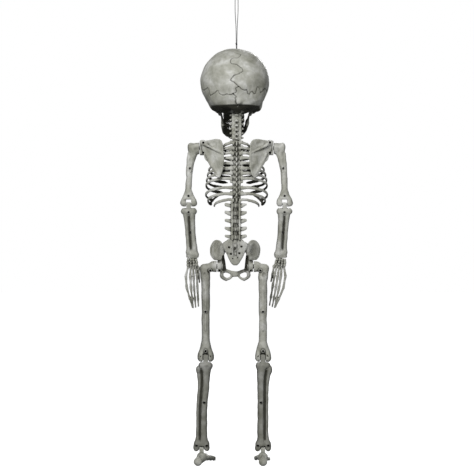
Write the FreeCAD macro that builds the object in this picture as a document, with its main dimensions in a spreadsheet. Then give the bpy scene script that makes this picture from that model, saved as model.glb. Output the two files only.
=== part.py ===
import FreeCAD, Part
import os
import re
from math import atan2, cos, degrees, pi, radians, sin, tan

import Sketcher
from FreeCAD import Placement, Rotation, Vector

# A hanging, posable skeleton, 0.9 m from crown to heel. It is moulded in hollow front and rear
# halves that are screwed together, and its limbs turn on pins and pegs that lie across the body.
#
# Frame: millimetres, +Z up, the skeleton faces -Y and its own left is +X. The origin is the top of
# the hanging loop. Each sub-part is an object of the document whose Label is its file's name.

SIZES = (
    # levels, all measured down from the top of the hanging loop
    ("crown_z", -111, "top of the skull"),
    ("knot_z", -99, "knot where the two cord strands part"),
    ("jaw_z", -228, "jaw hinge"),
    ("chin_z", -304, "underside of the chin"),
    ("neck_z", -250, "underside of the skull's neck boss"),
    ("chest_z", -311, "top of the chest vertebrae"),
    ("shoulder_z", -328, "shoulder pegs"),
    ("elbow_z", -451.5, "elbow pins"),
    ("loin_z", -446, "top of the lumbar vertebrae"),
    ("sacrum_z", -531, "top of the sacrum"),
    ("wrist_z", -572, "wrist ends of the forearms"),
    ("hip_z", -588.5, "hip pegs"),
    ("knee_z", -788, "knee pins"),
    ("ankle_z", -989, "ankle pins"),
    ("sole_z", -1024, "underside of the feet"),
    # how the figure hangs
    ("head_turn", 4, "degrees that the head is turned to its left"),
    ("elbow_bend", 10, "degrees that the forearms hang forward"),
    ("pelvis_sway", 3, "sideways offset of the pelvis"),
    ("thigh_sway", 5, "sideways offset of the thighs"),
    ("ankle_sway", 9.5, "sideways offset of the ankles"),
    # skull and jaw
    ("skull_x", 75, "half width of the braincase"),
    ("skull_y", 84, "half length of the braincase"),
    ("skull_zz", 72, "half height of the braincase"),
    ("skull_wall", 2.4, "thickness of the skull's wall"),
    ("split_y", -5, "seam between the skull's rear and face shells"),
    ("neck_y", 20, "neck axis, behind the cord"),
    ("neck_peg", 6, "radius of the neck peg"),
    ("jaw_y", -18, "jaw hinge"),
    ("jaw_x", 39.5, "middle of the jaw's branch at its hinge"),
    ("jaw_pin", 1.5, "radius of the jaw pins"),
    # trunk
    ("rib_x", 68, "half width of the widest rib, to its middle"),
    ("rib_y", 30, "back of the ribs"),
    ("rib_tilt", 22, "degrees that the ribs slope down to the front"),
    ("rib_top_z", -317, "back of the first rib"),
    ("rib_pitch", 11, "from one rib to the next"),
    ("rib_gap", 7, "how much further the ribs drop below the last close one"),
    ("rib_spread", 2.4, "how much more each of those lower ribs drops"),
    ("rib_thick", 1.9, "half thickness of a rib"),
    ("rib_tall", 2.9, "half height of a rib"),
    ("spine_y", 18, "middle of the vertebrae"),
    ("seam_x", 81, "face of the shoulder housing"),
    ("hip_x", 39.7, "face of the hip housing, from the pelvis's middle"),
    # limbs
    ("arm_x", 105.6, "middle of the elbow"),
    ("wrist_x", 98.5, "middle of the wrist"),
    ("leg_x", 63, "middle of the thigh and the knee"),
    ("ankle_x", 67.5, "middle of the ankle"),
    ("wall", 1.8, "thickness of the limb shells"),
    # pegs, pins and screws
    ("shoulder_peg", 4, "radius of the shoulder pegs"),
    ("hip_peg", 5, "radius of the hip pegs"),
    ("wrist_peg", 3, "radius of the wrist pegs"),
    ("flange", 3, "how far a peg's flange stands out"),
    ("flange_deep", 3, "thickness of a peg's flange"),
    ("elbow_pin", 1.6, "radius of the elbow pins"),
    ("knee_pin", 2.2, "radius of the knee pins"),
    ("ankle_pin", 1.7, "radius of the ankle pins"),
    ("running", 0.05, "radial clearance of what turns"),
    ("fitted", 0.02, "radial clearance of what is held fast"),
    ("seam", 1, "gap between two limb pieces that turn on each other"),
    ("slack", 0.3, "gap on each side of a flange"),
    ("screw_head", 2.2, "radius of a screw's head"),
    ("screw_rise", 1.6, "height of a screw's head"),
    ("screw_shank", 1.2, "radius of a screw's shank"),
    ("well", 2.5, "radius of the hole that a screw's head sits in"),
    ("boss", 3.6, "radius of the boss round a screw"),
    # cord
    ("strand", 0.7, "radius of the hanging cord"),
    ("strand_gap", 0.75, "half the distance between the two strands where they lie together"),
    ("loop_half", 3.3, "half width of the hanging loop"),
)

SIDES = {"L": 1, "R": -1}
RIBS = 11
BREAST_RIBS = 7
LAST_CLOSE_RIB = 7
JOINED_RIBS = 10
CHEST_VERTEBRAE = 12
LUMBAR_VERTEBRAE = 5
NECK_VERTEBRAE = 6
FAR = 400

doc = FreeCAD.newDocument("hanging_skeleton")
sheet = doc.addObject("Spreadsheet::Sheet", "Sizes")
for row, (word, number, meaning) in enumerate(SIZES, start=1):
    sheet.set(f"A{row}", meaning)
    sheet.set(f"B{row}", str(number))
    sheet.setAlias(f"B{row}", word)
doc.recompute()
WORDS = re.compile(r"\b(" + "|".join(word for word, _, _ in SIZES) + r")\b")
nodes = {}


# ---------------------------------------------------------------- building blocks


def sized(text):
    """An expression on the sheet's words, as FreeCAD reads it."""
    return WORDS.sub(lambda found: "Sizes." + found.group(0), str(text))


def value(text):
    """What an expression on the sheet's words comes to, in millimetres or degrees."""
    result = sheet.evalExpression(sized(text))
    return float(getattr(result, "Value", result))


def bind(item, **texts):
    for path, text in texts.items():
        item.setExpression(path.replace("__", "."), sized(text))
    return item


def put(item, x, y, z, rotation=None):
    """Places an object, by expressions, with an optional fixed rotation."""
    if rotation is not None:
        item.Placement = Placement(Vector(), rotation)
    return bind(item, Placement__Base__x=x, Placement__Base__y=y, Placement__Base__z=z)


def sub_part(node, item):
    """Names a finished sub-part."""
    item.Label = node
    nodes[node] = item
    return item


def out(side, x, sway="0"):
    """A distance out from the middle plane, as an X on that side."""
    return f"({sway}) + {SIDES[side]} * ({x})"


def block(name, x, y, z):
    """A box between a low and a high expression each way."""
    box = doc.addObject("Part::Box", name)
    size = [f"({high}) - ({low})" for low, high in (x, y, z)]
    bind(box, Length=size[0], Width=size[1], Height=size[2])
    return put(box, x[0], y[0], z[0])


def side_block(name, side, x, y, z, sway="0"):
    """A box whose two X limits are distances out from the middle plane."""
    near, far = (out(side, limit, sway) for limit in x)
    return block(name, (near, far) if side == "L" else (far, near), y, z)


TURNS = {
    "+X": Rotation(Vector(0, 1, 0), 90),
    "-X": Rotation(Vector(0, 1, 0), -90),
    "+Y": Rotation(Vector(1, 0, 0), -90),
    "-Y": Rotation(Vector(1, 0, 0), 90),
    "+Z": Rotation(),
}


def rod(name, radius, start, length, way):
    """A cylinder from a start point along an axis."""
    bar = bind(doc.addObject("Part::Cylinder", name), Radius=radius, Height=length)
    return put(bar, *start, rotation=TURNS[way])


def side_rod(name, side, radius, x, y, z, sway="0"):
    """A cylinder along X, between two distances out from the middle plane."""
    way = "+X" if side == "L" else "-X"
    return rod(name, radius, (out(side, x[0], sway), y, z), f"({x[1]}) - ({x[0]})", way)


def egg(name, centre, radii, rotation=None):
    """An ellipsoid, given by its centre and its half sizes along X, Y and Z."""
    ball = doc.addObject("Part::Ellipsoid", name)
    bind(ball, Radius2=radii[0], Radius3=radii[1], Radius1=radii[2])
    return put(ball, *centre, rotation=rotation)


def fuse(name, items):
    joined = doc.addObject("Part::MultiFuse", name)
    joined.Shapes = items
    return joined


def cut(name, base, tool):
    left = doc.addObject("Part::Cut", name)
    left.Base, left.Tool = base, tool
    return left


def common(name, base, tool):
    shared = doc.addObject("Part::Common", name)
    shared.Base, shared.Tool = base, tool
    return shared


def group(name, items):
    kept = doc.addObject("Part::Compound", name)
    kept.Links = items
    return kept


def loft(name, stations, rotation=None):
    """A bone's body through level ovals, each (x, y, z, half width, half depth)."""
    ovals = []
    for i, (x, y, z, wide, deep) in enumerate(stations):
        oval = doc.addObject("Part::Ellipse", f"{name}_oval{i}")
        bind(oval, MajorRadius=wide, MinorRadius=deep)
        ovals.append(put(oval, x, y, z, rotation=rotation))
    skin = doc.addObject("Part::Loft", name)
    skin.Sections = ovals
    skin.Solid = True
    skin.MaxDegree = 3
    return skin


def shape_of(name, shape):
    """An object that holds a shape made with Part's own functions."""
    item = doc.addObject("Part::Feature", name)
    item.Shape = shape
    return item


def outline(body, name, corners):
    """A closed straight-sided sketch on a body's XZ plane, each corner set from the sheet."""
    plane = [f for f in body.Origin.OriginFeatures if f.Role == "XZ_Plane"][0]
    sketch = body.newObject("Sketcher::SketchObject", name)
    sketch.AttachmentSupport = (plane, [""])
    sketch.MapMode = "FlatFace"
    spots = [Vector(value(x), value(z), 0) for x, z in corners]
    for start, end in zip(spots, spots[1:] + spots[:1]):
        sketch.addGeometry(Part.LineSegment(start, end), False)
    for i in range(len(corners)):
        after = (i + 1) % len(corners)
        sketch.addConstraint(Sketcher.Constraint("Coincident", i, 2, after, 1))
    for i, corner in enumerate(corners):
        for kind, text in zip(("DistanceX", "DistanceY"), corner):
            made = Sketcher.Constraint(kind, -1, 1, i, 1, value(text))
            index = sketch.addConstraint(made)
            sketch.renameConstraint(index, f"{kind}{i}")
            sketch.setExpression(f"Constraints.{kind}{i}", sized(text))
    return sketch


def padded(name, corners, depth):
    """A PartDesign body: an outline on the XZ plane, padded towards +Y."""
    body = doc.addObject("PartDesign::Body", name)
    sketch = outline(body, name + "_outline", corners)
    pad = body.newObject("PartDesign::Pad", name + "_pad")
    pad.Profile = sketch
    pad.Reversed = True
    bind(pad, Length=depth)
    return body


def turned(name, profile, x, y, z, rotation):
    """A PartDesign body: a half profile of (radius, along) corners, revolved about its own axis."""
    body = doc.addObject("PartDesign::Body", name)
    sketch = outline(body, name + "_profile", profile)
    spin = body.newObject("PartDesign::Revolution", name + "_turned")
    spin.Profile = sketch
    spin.ReferenceAxis = (sketch, ["V_Axis"])
    spin.Angle = 360
    return put(body, x, y, z, rotation=rotation)


# the space behind and in front of the plane that every limb is split on
BEHIND = block("behind", (-FAR, FAR), (0, FAR), (-3 * FAR, 0))
AHEAD = block("ahead", (-FAR, FAR), (-FAR, 0), (-3 * FAR, 0))


def screws(node, places, seat, reach):
    """Screws put in from behind: the screws, and the holes and wells that they need."""
    pieces, holes, bosses = [], [], []
    for i, (x, z) in enumerate(places):
        name = f"{node}{i}"
        head = rod(name + "_head", "screw_head", (x, seat, z), "screw_rise", "+Y")
        shank = rod(name + "_shank", "screw_shank", (x, seat, z), reach, "-Y")
        pieces.append(fuse(name, [head, shank]))
        holes.append(rod(name + "_well", "well", (x, seat, z), "30", "+Y"))
        bore = "screw_shank + running"
        holes.append(rod(name + "_hole", bore, (x, seat, z), f"{reach} + 1", "-Y"))
        bosses.append(rod(name + "_boss", "boss", (x, "-30", z), "60", "+Y"))
    sub_part(node, group(node, pieces))
    return holes, bosses


def limb(name, outer, hollow, bosses, taken):
    """A hollow limb bone, split into its rear and front shells."""
    space = cut(name + "_space", hollow, fuse(name + "_bosses", bosses))
    shell = cut(name + "_shell", outer, space)
    body = cut(name + "_body", shell, fuse(name + "_taken", taken))
    stem, side = name[:-2], name[-1]
    rear = sub_part(f"{stem}_rear_shell_{side}", cut(stem + "_rear" + side, body, AHEAD))
    front = sub_part(f"{stem}_front_shell_{side}", cut(stem + "_front" + side, body, BEHIND))
    return rear, front


def fork_waste(name, side, x, level, round_off, slot_half, slot_top, sway):
    """What is cut from a limb's lower end to leave two round ears about a pin."""
    wide = (f"{x} - 40", f"{x} + 40")
    under = side_block(name + "_under", side, wide, (-30, 30), (f"{level} - 30", level), sway)
    ears = side_rod(name + "_ears", side, round_off, wide, "0", level, sway)
    corners = cut(name + "_corners", under, ears)
    middle = (f"{x} - {slot_half}", f"{x} + {slot_half}")
    rise = (f"{level} - 35", f"{level} + {slot_top}")
    slot = side_block(name + "_slot", side, middle, (-35, 35), rise, sway)
    return [corners, slot]


def hinge_tab(name, side, x, level, half, radius, foot, sway):
    """The tongue that rises into a fork, round about its pin."""
    middle = (f"{x} - {half}", f"{x} + {half}")
    deep = (f"-({radius})", radius)
    post = side_block(name + "_post", side, middle, deep, (foot, level), sway)
    return [post, side_rod(name + "_eye", side, radius, middle, "0", level, sway)]


def hinge_pin(node, side, radius, x, half, level, sway):
    """A plain cross pin as a PartDesign revolution, with its ends chamfered."""
    nose = 0.4
    profile = [
        ("0", f"-({half})"),
        (f"{radius} - {nose}", f"-({half})"),
        (radius, f"-({half}) + {nose}"),
        (radius, f"{half} - {nose}"),
        (f"{radius} - {nose}", half),
        ("0", half),
    ]
    pin = turned(f"{node}_{side}_body", profile, out(side, x, sway), "0", level, TURNS["+X"])
    return sub_part(f"{node}_{side}", pin)


def pin_room(name, side, radius, x, half, level, sway):
    """The hole that holds a cross pin in its fork."""
    limits = (f"{x} - {half} - 0.1", f"{x} + {half} + 0.1")
    return side_rod(name + "_pin_hole", side, f"{radius} + fitted", limits, "0", level, sway)


def flanged_peg(node, side, radius, flange_at, end, level, sway):
    """A peg along X that is fast in its limb and turns in its housing behind a flange."""
    rim = f"{radius} + flange"
    profile = [
        ("0", flange_at),
        (rim, flange_at),
        (rim, f"{flange_at} + flange_deep"),
        (radius, f"{flange_at} + flange_deep"),
        (radius, end),
        ("0", end),
    ]
    way = "+X" if side == "L" else "-X"
    return sub_part(f"{node}_{side}", turned(f"{node}_{side}_body", profile, sway, "0", level, TURNS[way]))


def peg_room(name, side, radius, flange_at, mouth, level, sway):
    """The running bore and flange pocket that a housing needs for a peg."""
    bore_x = (f"{flange_at} + flange_deep", f"{mouth} + 5")
    bore = side_rod(name + "_bore", side, f"{radius} + running", bore_x, "0", level, sway)
    rim = f"{radius} + flange + slack"
    pocket_x = (f"{flange_at} - slack", f"{flange_at} + flange_deep + slack")
    return [bore, side_rod(name + "_pocket", side, rim, pocket_x, "0", level, sway)]


# ---------------------------------------------------------------- skull and jaw


def base_wedge(name, rise):
    """The space under the sloping base of the braincase, raised by the wall for the hollow."""
    slope = atan2(41, 70)
    length, height = 100, 80
    wedge = doc.addObject("Part::Box", name)
    bind(wedge, Length="200", Width=str(length), Height=str(height))
    # its upper rear edge lies behind the neck, at the underside of the neck boss
    back = length * cos(slope) + height * sin(slope)
    drop = height * cos(slope) - length * sin(slope)
    tilt = Rotation(Vector(1, 0, 0), -degrees(slope))
    return put(wedge, "-100", f"36 - {back}", f"neck_z - 0.6 + {rise} - {drop}", tilt)


def skull():
    middle_z = "(crown_z - skull_zz)"
    brain = egg("braincase", ("0", "0", middle_z), ("skull_x", "skull_y", "skull_zz"))
    brain = cut("braincase_based", brain, base_wedge("skull_base", "0"))
    nape = egg("nape", ("0", "33", "crown_z - 104"), ("63", "40", "34.5"))
    mastoids = [
        egg(f"mastoid_{side}", (out(side, "47"), "9", "jaw_z - 6"), ("8.5", "12", "17"))
        for side in SIDES
    ]
    face = loft(
        "face",
        [
            ("0", "-40", "crown_z - 58", "46", "44"),
            ("0", "-49", "crown_z - 88", "49", "43"),
            ("0", "-52", "crown_z - 111", "46", "41"),
            ("0", "-64", "crown_z - 130", "33", "31"),
            ("0", "-72", "crown_z - 155", "25", "23.5"),
        ],
    )
    arches = [
        side_block(
            f"cheek_arch_{side}", side, ("49", "56"), ("-66", "0"), ("jaw_z + 5", "jaw_z + 12")
        )
        for side in SIDES
    ]
    lugs = [
        side_block(
            f"jaw_lug_{side}",
            side,
            ("jaw_x + 4", "jaw_x + 11"),
            ("jaw_y - 6", "jaw_y + 6"),
            ("jaw_z - 6", "jaw_z + 14"),
        )
        for side in SIDES
    ]
    boss = rod("neck_boss", "15", ("0", "neck_y", "neck_z"), "18", "+Z")
    outer = fuse("skull_outer", [brain, nape, face, boss] + mastoids + arches + lugs)

    inner = egg(
        "brain_space",
        ("0", "0", middle_z),
        ("skull_x - skull_wall", "skull_y - skull_wall", "skull_zz - skull_wall"),
    )
    inner = cut("brain_space_based", inner, base_wedge("brain_space_base", "skull_wall + 1"))
    inner = cut("brain_space_face", inner, block("face_back", (-60, 60), (-FAR, -60), (-300, -190)))
    inner = cut("brain_space_boss", inner, rod("boss_keep", "15", ("0", "neck_y", "neck_z"), "17.7", "+Z"))
    sockets = [
        egg(f"eye_socket_{side}", (out(side, "20.5"), "-94", "crown_z - 92"), ("16", "28", "14"))
        for side in SIDES
    ]
    nose = egg("nose_opening", ("0", "-98", "crown_z - 118"), ("8", "18", "13"))
    neck_bore = rod(
        "neck_bore", "neck_peg + running", ("0", "neck_y", "neck_z - 1"), "30", "+Z"
    )
    pin_holes = [
        side_rod(
            f"jaw_pin_hole_{side}",
            side,
            "jaw_pin + fitted",
            ("jaw_x + 3", "jaw_x + 9.6"),
            "jaw_y",
            "jaw_z",
        )
        for side in SIDES
    ]
    taken = fuse("skull_taken", [inner, nose, neck_bore] + sockets + pin_holes)
    whole = cut("skull_whole", outer, taken)
    front_room = block("skull_ahead", (-FAR, FAR), (-FAR, "split_y"), (-FAR, 0))
    back_room = block("skull_behind", (-FAR, FAR), ("split_y", FAR), (-FAR, 0))
    cord_hole = rod("crown_hole", "2.2", ("0", "0", "crown_z - 8"), "12", "+Z")
    face_shell = cut("skull_face", whole, back_room)
    rear_blank = turn_head(cut("skull_rear_blank", whole, front_room))
    sub_part("skull_face_shell", turn_head(face_shell))
    sub_part("skull_rear_shell", cut("skull_rear", rear_blank, cord_hole))


def turn_head(item):
    """Turns a piece with the head, about the neck axis."""
    angle, back = radians(value("head_turn")), value("neck_y")
    item.Placement = Placement(
        Vector(0, 0, 0), Rotation(Vector(0, 0, 1), degrees(angle)), Vector(0, back, 0)
    )
    return item


def jaw():
    rows = (
        ("-52", "chin_z + 36", "44", "30.5"),
        ("-56", "chin_z + 18", "38", "26"),
        ("-60", "chin_z", "33", "20"),
    )
    along = Rotation(Vector(0, 0, 1), 90)
    outer = loft("jaw_outer", [("0", y, z, deep, wide) for y, z, deep, wide in rows], along)
    inner_rows = [
        ("0", y, f"{z} + {lift}", f"{deep} - 7", f"{wide} - 7")
        for (y, z, deep, wide), lift in zip(rows, (2, 0, -2))
    ]
    inner = loft("jaw_inner", inner_rows, along)
    ring = cut("jaw_ring", outer, inner)
    rear = block("jaw_rear_room", (-60, 60), ("jaw_y - 12", 60), ("chin_z - 5", "chin_z + 60"))
    arch = cut("jaw_arch", ring, rear)
    branches = []
    for side in SIDES:
        plate = doc.addObject("Part::Box", f"jaw_plate_{side}")
        bind(plate, Length="7", Width="22", Height="44")
        foot_x = f"{out(side, 'jaw_x - 9.4')} - 3.5"
        lean = Rotation(Vector(0, 1, 0), 11.5 * SIDES[side])
        put(plate, foot_x, "jaw_y - 15", "jaw_z - 46", lean)
        knob = side_rod(
            f"jaw_knob_{side}", side, "5", ("jaw_x - 3.5", "jaw_x + 3.5"), "jaw_y", "jaw_z"
        )
        branches += [plate, knob]
    holes = [
        side_rod(
            f"jaw_bore_{side}",
            side,
            "jaw_pin + running",
            ("jaw_x - 8", "jaw_x + 8"),
            "jaw_y",
            "jaw_z",
        )
        for side in SIDES
    ]
    body = cut("jaw_bored", fuse("jaw_body", [arch] + branches), fuse("jaw_bores", holes))
    sub_part("jaw", turn_head(body))
    pins = [
        side_rod(f"jaw_pin_{side}", side, "jaw_pin", ("jaw_x - 3", "jaw_x + 9.5"), "jaw_y", "jaw_z")
        for side in SIDES
    ]
    sub_part("jaw_pins", turn_head(group("jaw_pins", pins)))


# ---------------------------------------------------------------- hanging cord


def cord_route():
    """The corners of the cord's middle line: up one strand, over the hook and down the other."""
    near, wide = value("strand_gap"), value("loop_half")
    button, top = value("crown_z") - 3, -value("strand")
    return [
        Vector(-near, 0, button),
        Vector(-near, 0, -66),
        Vector(-wide, 0, -32),
        Vector(-wide, 0, top),
        Vector(wide, 0, top),
        Vector(wide, 0, -32),
        Vector(near, 0, -66),
        Vector(near, 0, button),
    ]


def cord():
    """A tube of straight runs joined by tangent arcs, each as large as its two runs allow."""
    corners = cord_route()
    edges, start, radii = [], corners[0], []
    for before, corner, after in zip(corners, corners[1:], corners[2:]):
        back, on = before - corner, after - corner
        shorter = min(back.Length, on.Length)
        half_turn = (pi - back.getAngle(on)) / 2
        reach = 0.45 * shorter
        radii.append(reach / tan(half_turn))
        back.normalize()
        on.normalize()
        enter, leave = corner + back * reach, corner + on * reach
        inward = (back + on).normalize()
        bow = reach / sin(half_turn) - radii[-1] if half_turn else 0
        edges.append(Part.LineSegment(start, enter).toShape())
        edges.append(Part.Arc(enter, corner + inward * bow, leave).toShape())
        start = leave
    edges.append(Part.LineSegment(start, corners[-1]).toShape())
    path = Part.Wire(edges)
    ring = Part.Wire(Part.makeCircle(value("strand"), corners[0], Vector(0, 0, 1)))
    tube = path.makePipeShell([ring], True, False)
    expected = pi * value("strand") ** 2 * path.Length
    print("cord radii", [round(r, 1) for r in radii])
    print(f"cord length {path.Length:.2f}, volume {tube.Volume:.2f}, section x length {expected:.2f}")
    sub_part("hanging_cord", shape_of("hanging_cord", tube))
    knot = egg("knot", ("0", "0", "knot_z"), ("2.6", "2.1", "2.9"))
    sub_part("hanging_cord_knot", knot)
    button = padded(
        "cord_button",
        [("-6", "-2.4"), ("6", "-2.4"), ("6", "0"), ("-6", "0")],
        "12",
    )
    put(button, "0", "-6", "crown_z - 3")
    sub_part("cord_button", button)


# ---------------------------------------------------------------- trunk


def rib_sizes(i):
    """Half width, half depth and rear height of a rib, counted from the top."""
    down = i / (RIBS - 1)
    growing = 1 - 0.55 * (1 - down) ** 3.2
    closing = 1 - 0.28 * max(0, (down - 0.8) / 0.2) ** 2
    wide = value("rib_x") * growing * closing
    level = value("rib_top_z") - i * value("rib_pitch")
    if i > LAST_CLOSE_RIB:
        level -= value("rib_gap") + (i - LAST_CLOSE_RIB) * value("rib_spread")
    return wide, 15.4 + 0.42 * wide, level


def rib(i, way, reach=1.0):
    """Half of a rib, rear (way 1) or front (way -1): three tangent arcs in a tilted plane.

    reach is how much of each quarter is kept, counted from the side.
    """
    wide, deep, level = rib_sizes(i)
    small = 0.8 * deep
    side_x = wide - small
    large = (side_x**2 + deep**2 - small**2) / (2 * (deep - small))
    turn = atan2(side_x, large - deep)
    tilt = value("rib_tilt")
    middle_y = value("rib_y") - deep * cos(radians(tilt))
    level -= deep * sin(radians(tilt))
    solids = []
    for s in (1, -1):
        oval = Part.Ellipse(Vector(0, 0, 0), value("rib_tall"), value("rib_thick"))
        face = Part.Face(Part.Wire(oval.toShape()))
        face.rotate(Vector(), Vector(0, 1, 0), 90)
        face.rotate(Vector(), Vector(0, 0, 1), 90)
        face.translate(Vector(s * wide, 0, 0))
        quarter = pi / 2 - turn
        first = min(reach * pi / 2, quarter)
        centre = Vector(s * side_x, 0, 0)
        spin = Vector(0, 0, s * way)
        solids.append(face.revolve(centre, spin, degrees(first)))
        if reach * pi / 2 > quarter:
            face.rotate(centre, spin, degrees(first))
            centre = Vector(0, way * (deep - large), 0)
            rest = (reach - quarter / (pi / 2)) / (turn / (pi / 2)) * turn
            solids.append(face.revolve(centre, spin, degrees(rest)))
    whole = solids[0].multiFuse(solids[1:]) if len(solids) > 1 else solids[0]
    whole.Placement = Placement(Vector(0, middle_y, level), Rotation(Vector(1, 0, 0), tilt))
    return whole


def vertebra(name, level, half_x, half_y, height, side_reach, tip_y, sway="0"):
    """A vertebra: its drum, its two side processes and the process that points back."""
    drum = doc.addObject("Part::Cylinder", name + "_drum")
    bind(drum, Radius=half_x, Height=height)
    put(drum, sway, "spine_y", f"{level} - ({height}) / 2")
    wings = block(
        name + "_wings",
        (f"{sway} - {side_reach}", f"{sway} + {side_reach}"),
        ("spine_y + 5", "spine_y + 10"),
        (f"{level} - 1.8", f"{level} + 1.8"),
    )
    back = block(
        name + "_back",
        (f"{sway} - 2", f"{sway} + 2"),
        ("spine_y + 5", tip_y),
        (f"{level} - 3.5", f"{level} + 1.5"),
    )
    return [drum, wings, back]


def spine_core(name, radius, low, high, sway="0"):
    return rod(name, radius, (sway, "spine_y", low), f"({high}) - ({low})", "+Z")


def neck():
    bones = [spine_core("neck_core", "8", "chest_z", "neck_z - seam")]
    for i in range(NECK_VERTEBRAE):
        level = f"neck_z - 7 - {i} * 9.9"
        bones += vertebra(f"neck{i}", level, "11", "10", "6.5", "14.5", "spine_y + 19")
    whole = fuse("neck_fused", bones)
    foot = rod("neck_peg_room", "neck_peg + fitted", ("0", "neck_y", "neck_z - 25"), "30", "+Z")
    sub_part("neck_vertebrae", cut("neck_vertebrae", whole, foot))
    rim = "neck_peg + 4"
    seat = "18 + slack"
    profile = [
        ("0", "-25"),
        ("neck_peg", "-25"),
        ("neck_peg", seat),
        (rim, seat),
        (rim, f"{seat} + 3"),
        ("0", f"{seat} + 3"),
    ]
    peg = turned("neck_peg_body", profile, "0", "neck_y", "neck_z", TURNS["+Z"])
    sub_part("neck_peg", peg)


def rib_cage():
    chest = [spine_core("chest_core", "8.5", "loin_z", "chest_z")]
    for i in range(CHEST_VERTEBRAE):
        level = f"rib_top_z - {i} * rib_pitch"
        chest += vertebra(f"chest{i}", level, "10.5", "10", "6", "12", "spine_y + 20")
    rear_ribs = [shape_of(f"rear_rib{i}", rib(i, 1)) for i in range(RIBS)]
    sub_part("rib_cage_rear", fuse("rib_cage_rear", chest + rear_ribs))

    front = []
    ends = []
    for i in range(JOINED_RIBS):
        reach = 1.0 if i < BREAST_RIBS else 1.0 - 0.2 * (i - BREAST_RIBS + 1)
        shape = rib(i, -1, reach)
        front.append(shape_of(f"front_rib{i}", shape))
        if i >= BREAST_RIBS - 1:
            ends.append(rib_end(i, reach))
    breast = []
    for i in range(BREAST_RIBS):
        place = rib_end(i, 1.0)
        breast.append(Vector(0, place.y, place.z))
    for i, (high, low) in enumerate(zip(breast, breast[1:])):
        front.append(shape_of(f"breastbone{i}", bar(high, low, 5.5 if i else 8)))
    for s in (1, -1):
        spots = [Vector(s * end.x, end.y, end.z) for end in ends]
        for i, (a, b) in enumerate(zip(spots, spots[1:])):
            front.append(shape_of(f"rib_margin{i}_{s + 1}", bar(a, b, 2.6)))
    sub_part("rib_cage_front", fuse("rib_cage_front", front))


def rib_end(i, reach):
    """Where the front half of a rib ends on the left side."""
    wide, deep, level = rib_sizes(i)
    small = 0.8 * deep
    side_x = wide - small
    large = (side_x**2 + deep**2 - small**2) / (2 * (deep - small))
    turn = atan2(side_x, large - deep)
    quarter = pi / 2 - turn
    angle = reach * pi / 2
    if angle <= quarter:
        x, y = side_x + small * cos(angle), -small * sin(angle)
    else:
        x, y = large * cos(angle), -(large * sin(angle) + deep - large)
    tilt = radians(value("rib_tilt"))
    middle_y = value("rib_y") - deep * cos(tilt)
    return Vector(x, middle_y + y * cos(tilt), level - deep * sin(tilt) + y * sin(tilt))


def bar(start, end, radius):
    """A round bar with ball ends."""
    line = end - start
    pieces = [Part.makeSphere(radius, start), Part.makeSphere(radius, end)]
    return Part.makeCylinder(radius, line.Length, start, line).multiFuse(pieces)


def shoulder(side):
    """A shoulder blade and a collar bone, which hold the shoulder peg between them."""
    s = SIDES[side]
    housing = side_block(
        f"housing_{side}",
        side,
        ("62", "seam_x"),
        ("-11", "11"),
        ("shoulder_z - 16", "shoulder_z + 16"),
    )
    room = peg_room(f"shoulder_{side}", side, "shoulder_peg", "64", "seam_x", "shoulder_z", "0")
    places = [(out(side, "73"), "shoulder_z + 11"), (out(side, "73"), "shoulder_z - 11")]
    holes, _ = screws(f"shoulder_screws_{side}", places, "4", "10")
    bored = cut(f"housing_bored_{side}", housing, fuse(f"housing_taken_{side}", room + holes))

    corners = [
        ("30", "-336"),
        ("35", "-312"),
        ("47", "-309"),
        ("66", "-316"),
        ("73", "-322"),
        ("71", "-344"),
        ("45", "-391"),
        ("38", "-395"),
        ("29", "-364"),
    ]
    prism = padded(f"blade_prism_{side}", [(f"{s} * {x}", z) for x, z in corners], "80")
    put(prism, "0", "-10", "0")
    slab = doc.addObject("Part::Box", f"blade_slab_{side}")
    bind(slab, Length="80", Width="4.5", Height="120")
    if s > 0:
        put(slab, "22", "44", "-410", Rotation(Vector(0, 0, 1), -33))
    else:
        back = 80 * cos(radians(33))
        put(slab, f"-22 - {back}", f"44 - {80 * sin(radians(33))}", "-410", Rotation(Vector(0, 0, 1), 33))
    plate = common(f"blade_plate_{side}", prism, slab)
    ridge = doc.addObject("Part::Cylinder", f"blade_ridge_{side}")
    bind(ridge, Radius="3.2", Height="48")
    start = Vector(s * 32, 42, -338)
    end = Vector(s * 72, 14, -317)
    put(ridge, start.x, start.y, start.z, Rotation(Vector(0, 0, 1), end - start))
    rear_half = cut(f"housing_rear_{side}", bored, AHEAD)
    sub_part(f"shoulder_blade_{side}", fuse(f"shoulder_blade_{side}", [rear_half, plate, ridge]))

    front_half = cut(f"housing_front_{side}", bored, BEHIND)
    breast = rib_end(0, 1.0)
    near = Vector(s * 12, breast.y - 3, breast.z + 8)
    bend = Vector(s * 42, breast.y - 6, breast.z + 16)
    far = Vector(s * 66, -8, value("shoulder_z") + 8)
    collar = shape_of(f"collar_{side}", bar(near, bend, 3.4).fuse(bar(bend, far, 3.4)))
    sub_part(f"collar_bone_{side}", fuse(f"collar_bone_{side}", [front_half, collar]))


def lumbar():
    sway = "0.6 * pelvis_sway"
    bones = [spine_core("lumbar_core", "10", "sacrum_z", "loin_z", sway)]
    for i in range(LUMBAR_VERTEBRAE):
        level = f"loin_z - 8 - {i} * 17.2"
        bones += vertebra(f"lumbar{i}", level, "13", "11", "9", "25", "spine_y + 21", sway)
    trim = block("lumbar_trim", (-60, 60), (-60, 90), ("sacrum_z - 20", "sacrum_z"))
    sub_part("lumbar_vertebrae", cut("lumbar_vertebrae", fuse("lumbar_fused", bones), trim))


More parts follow.
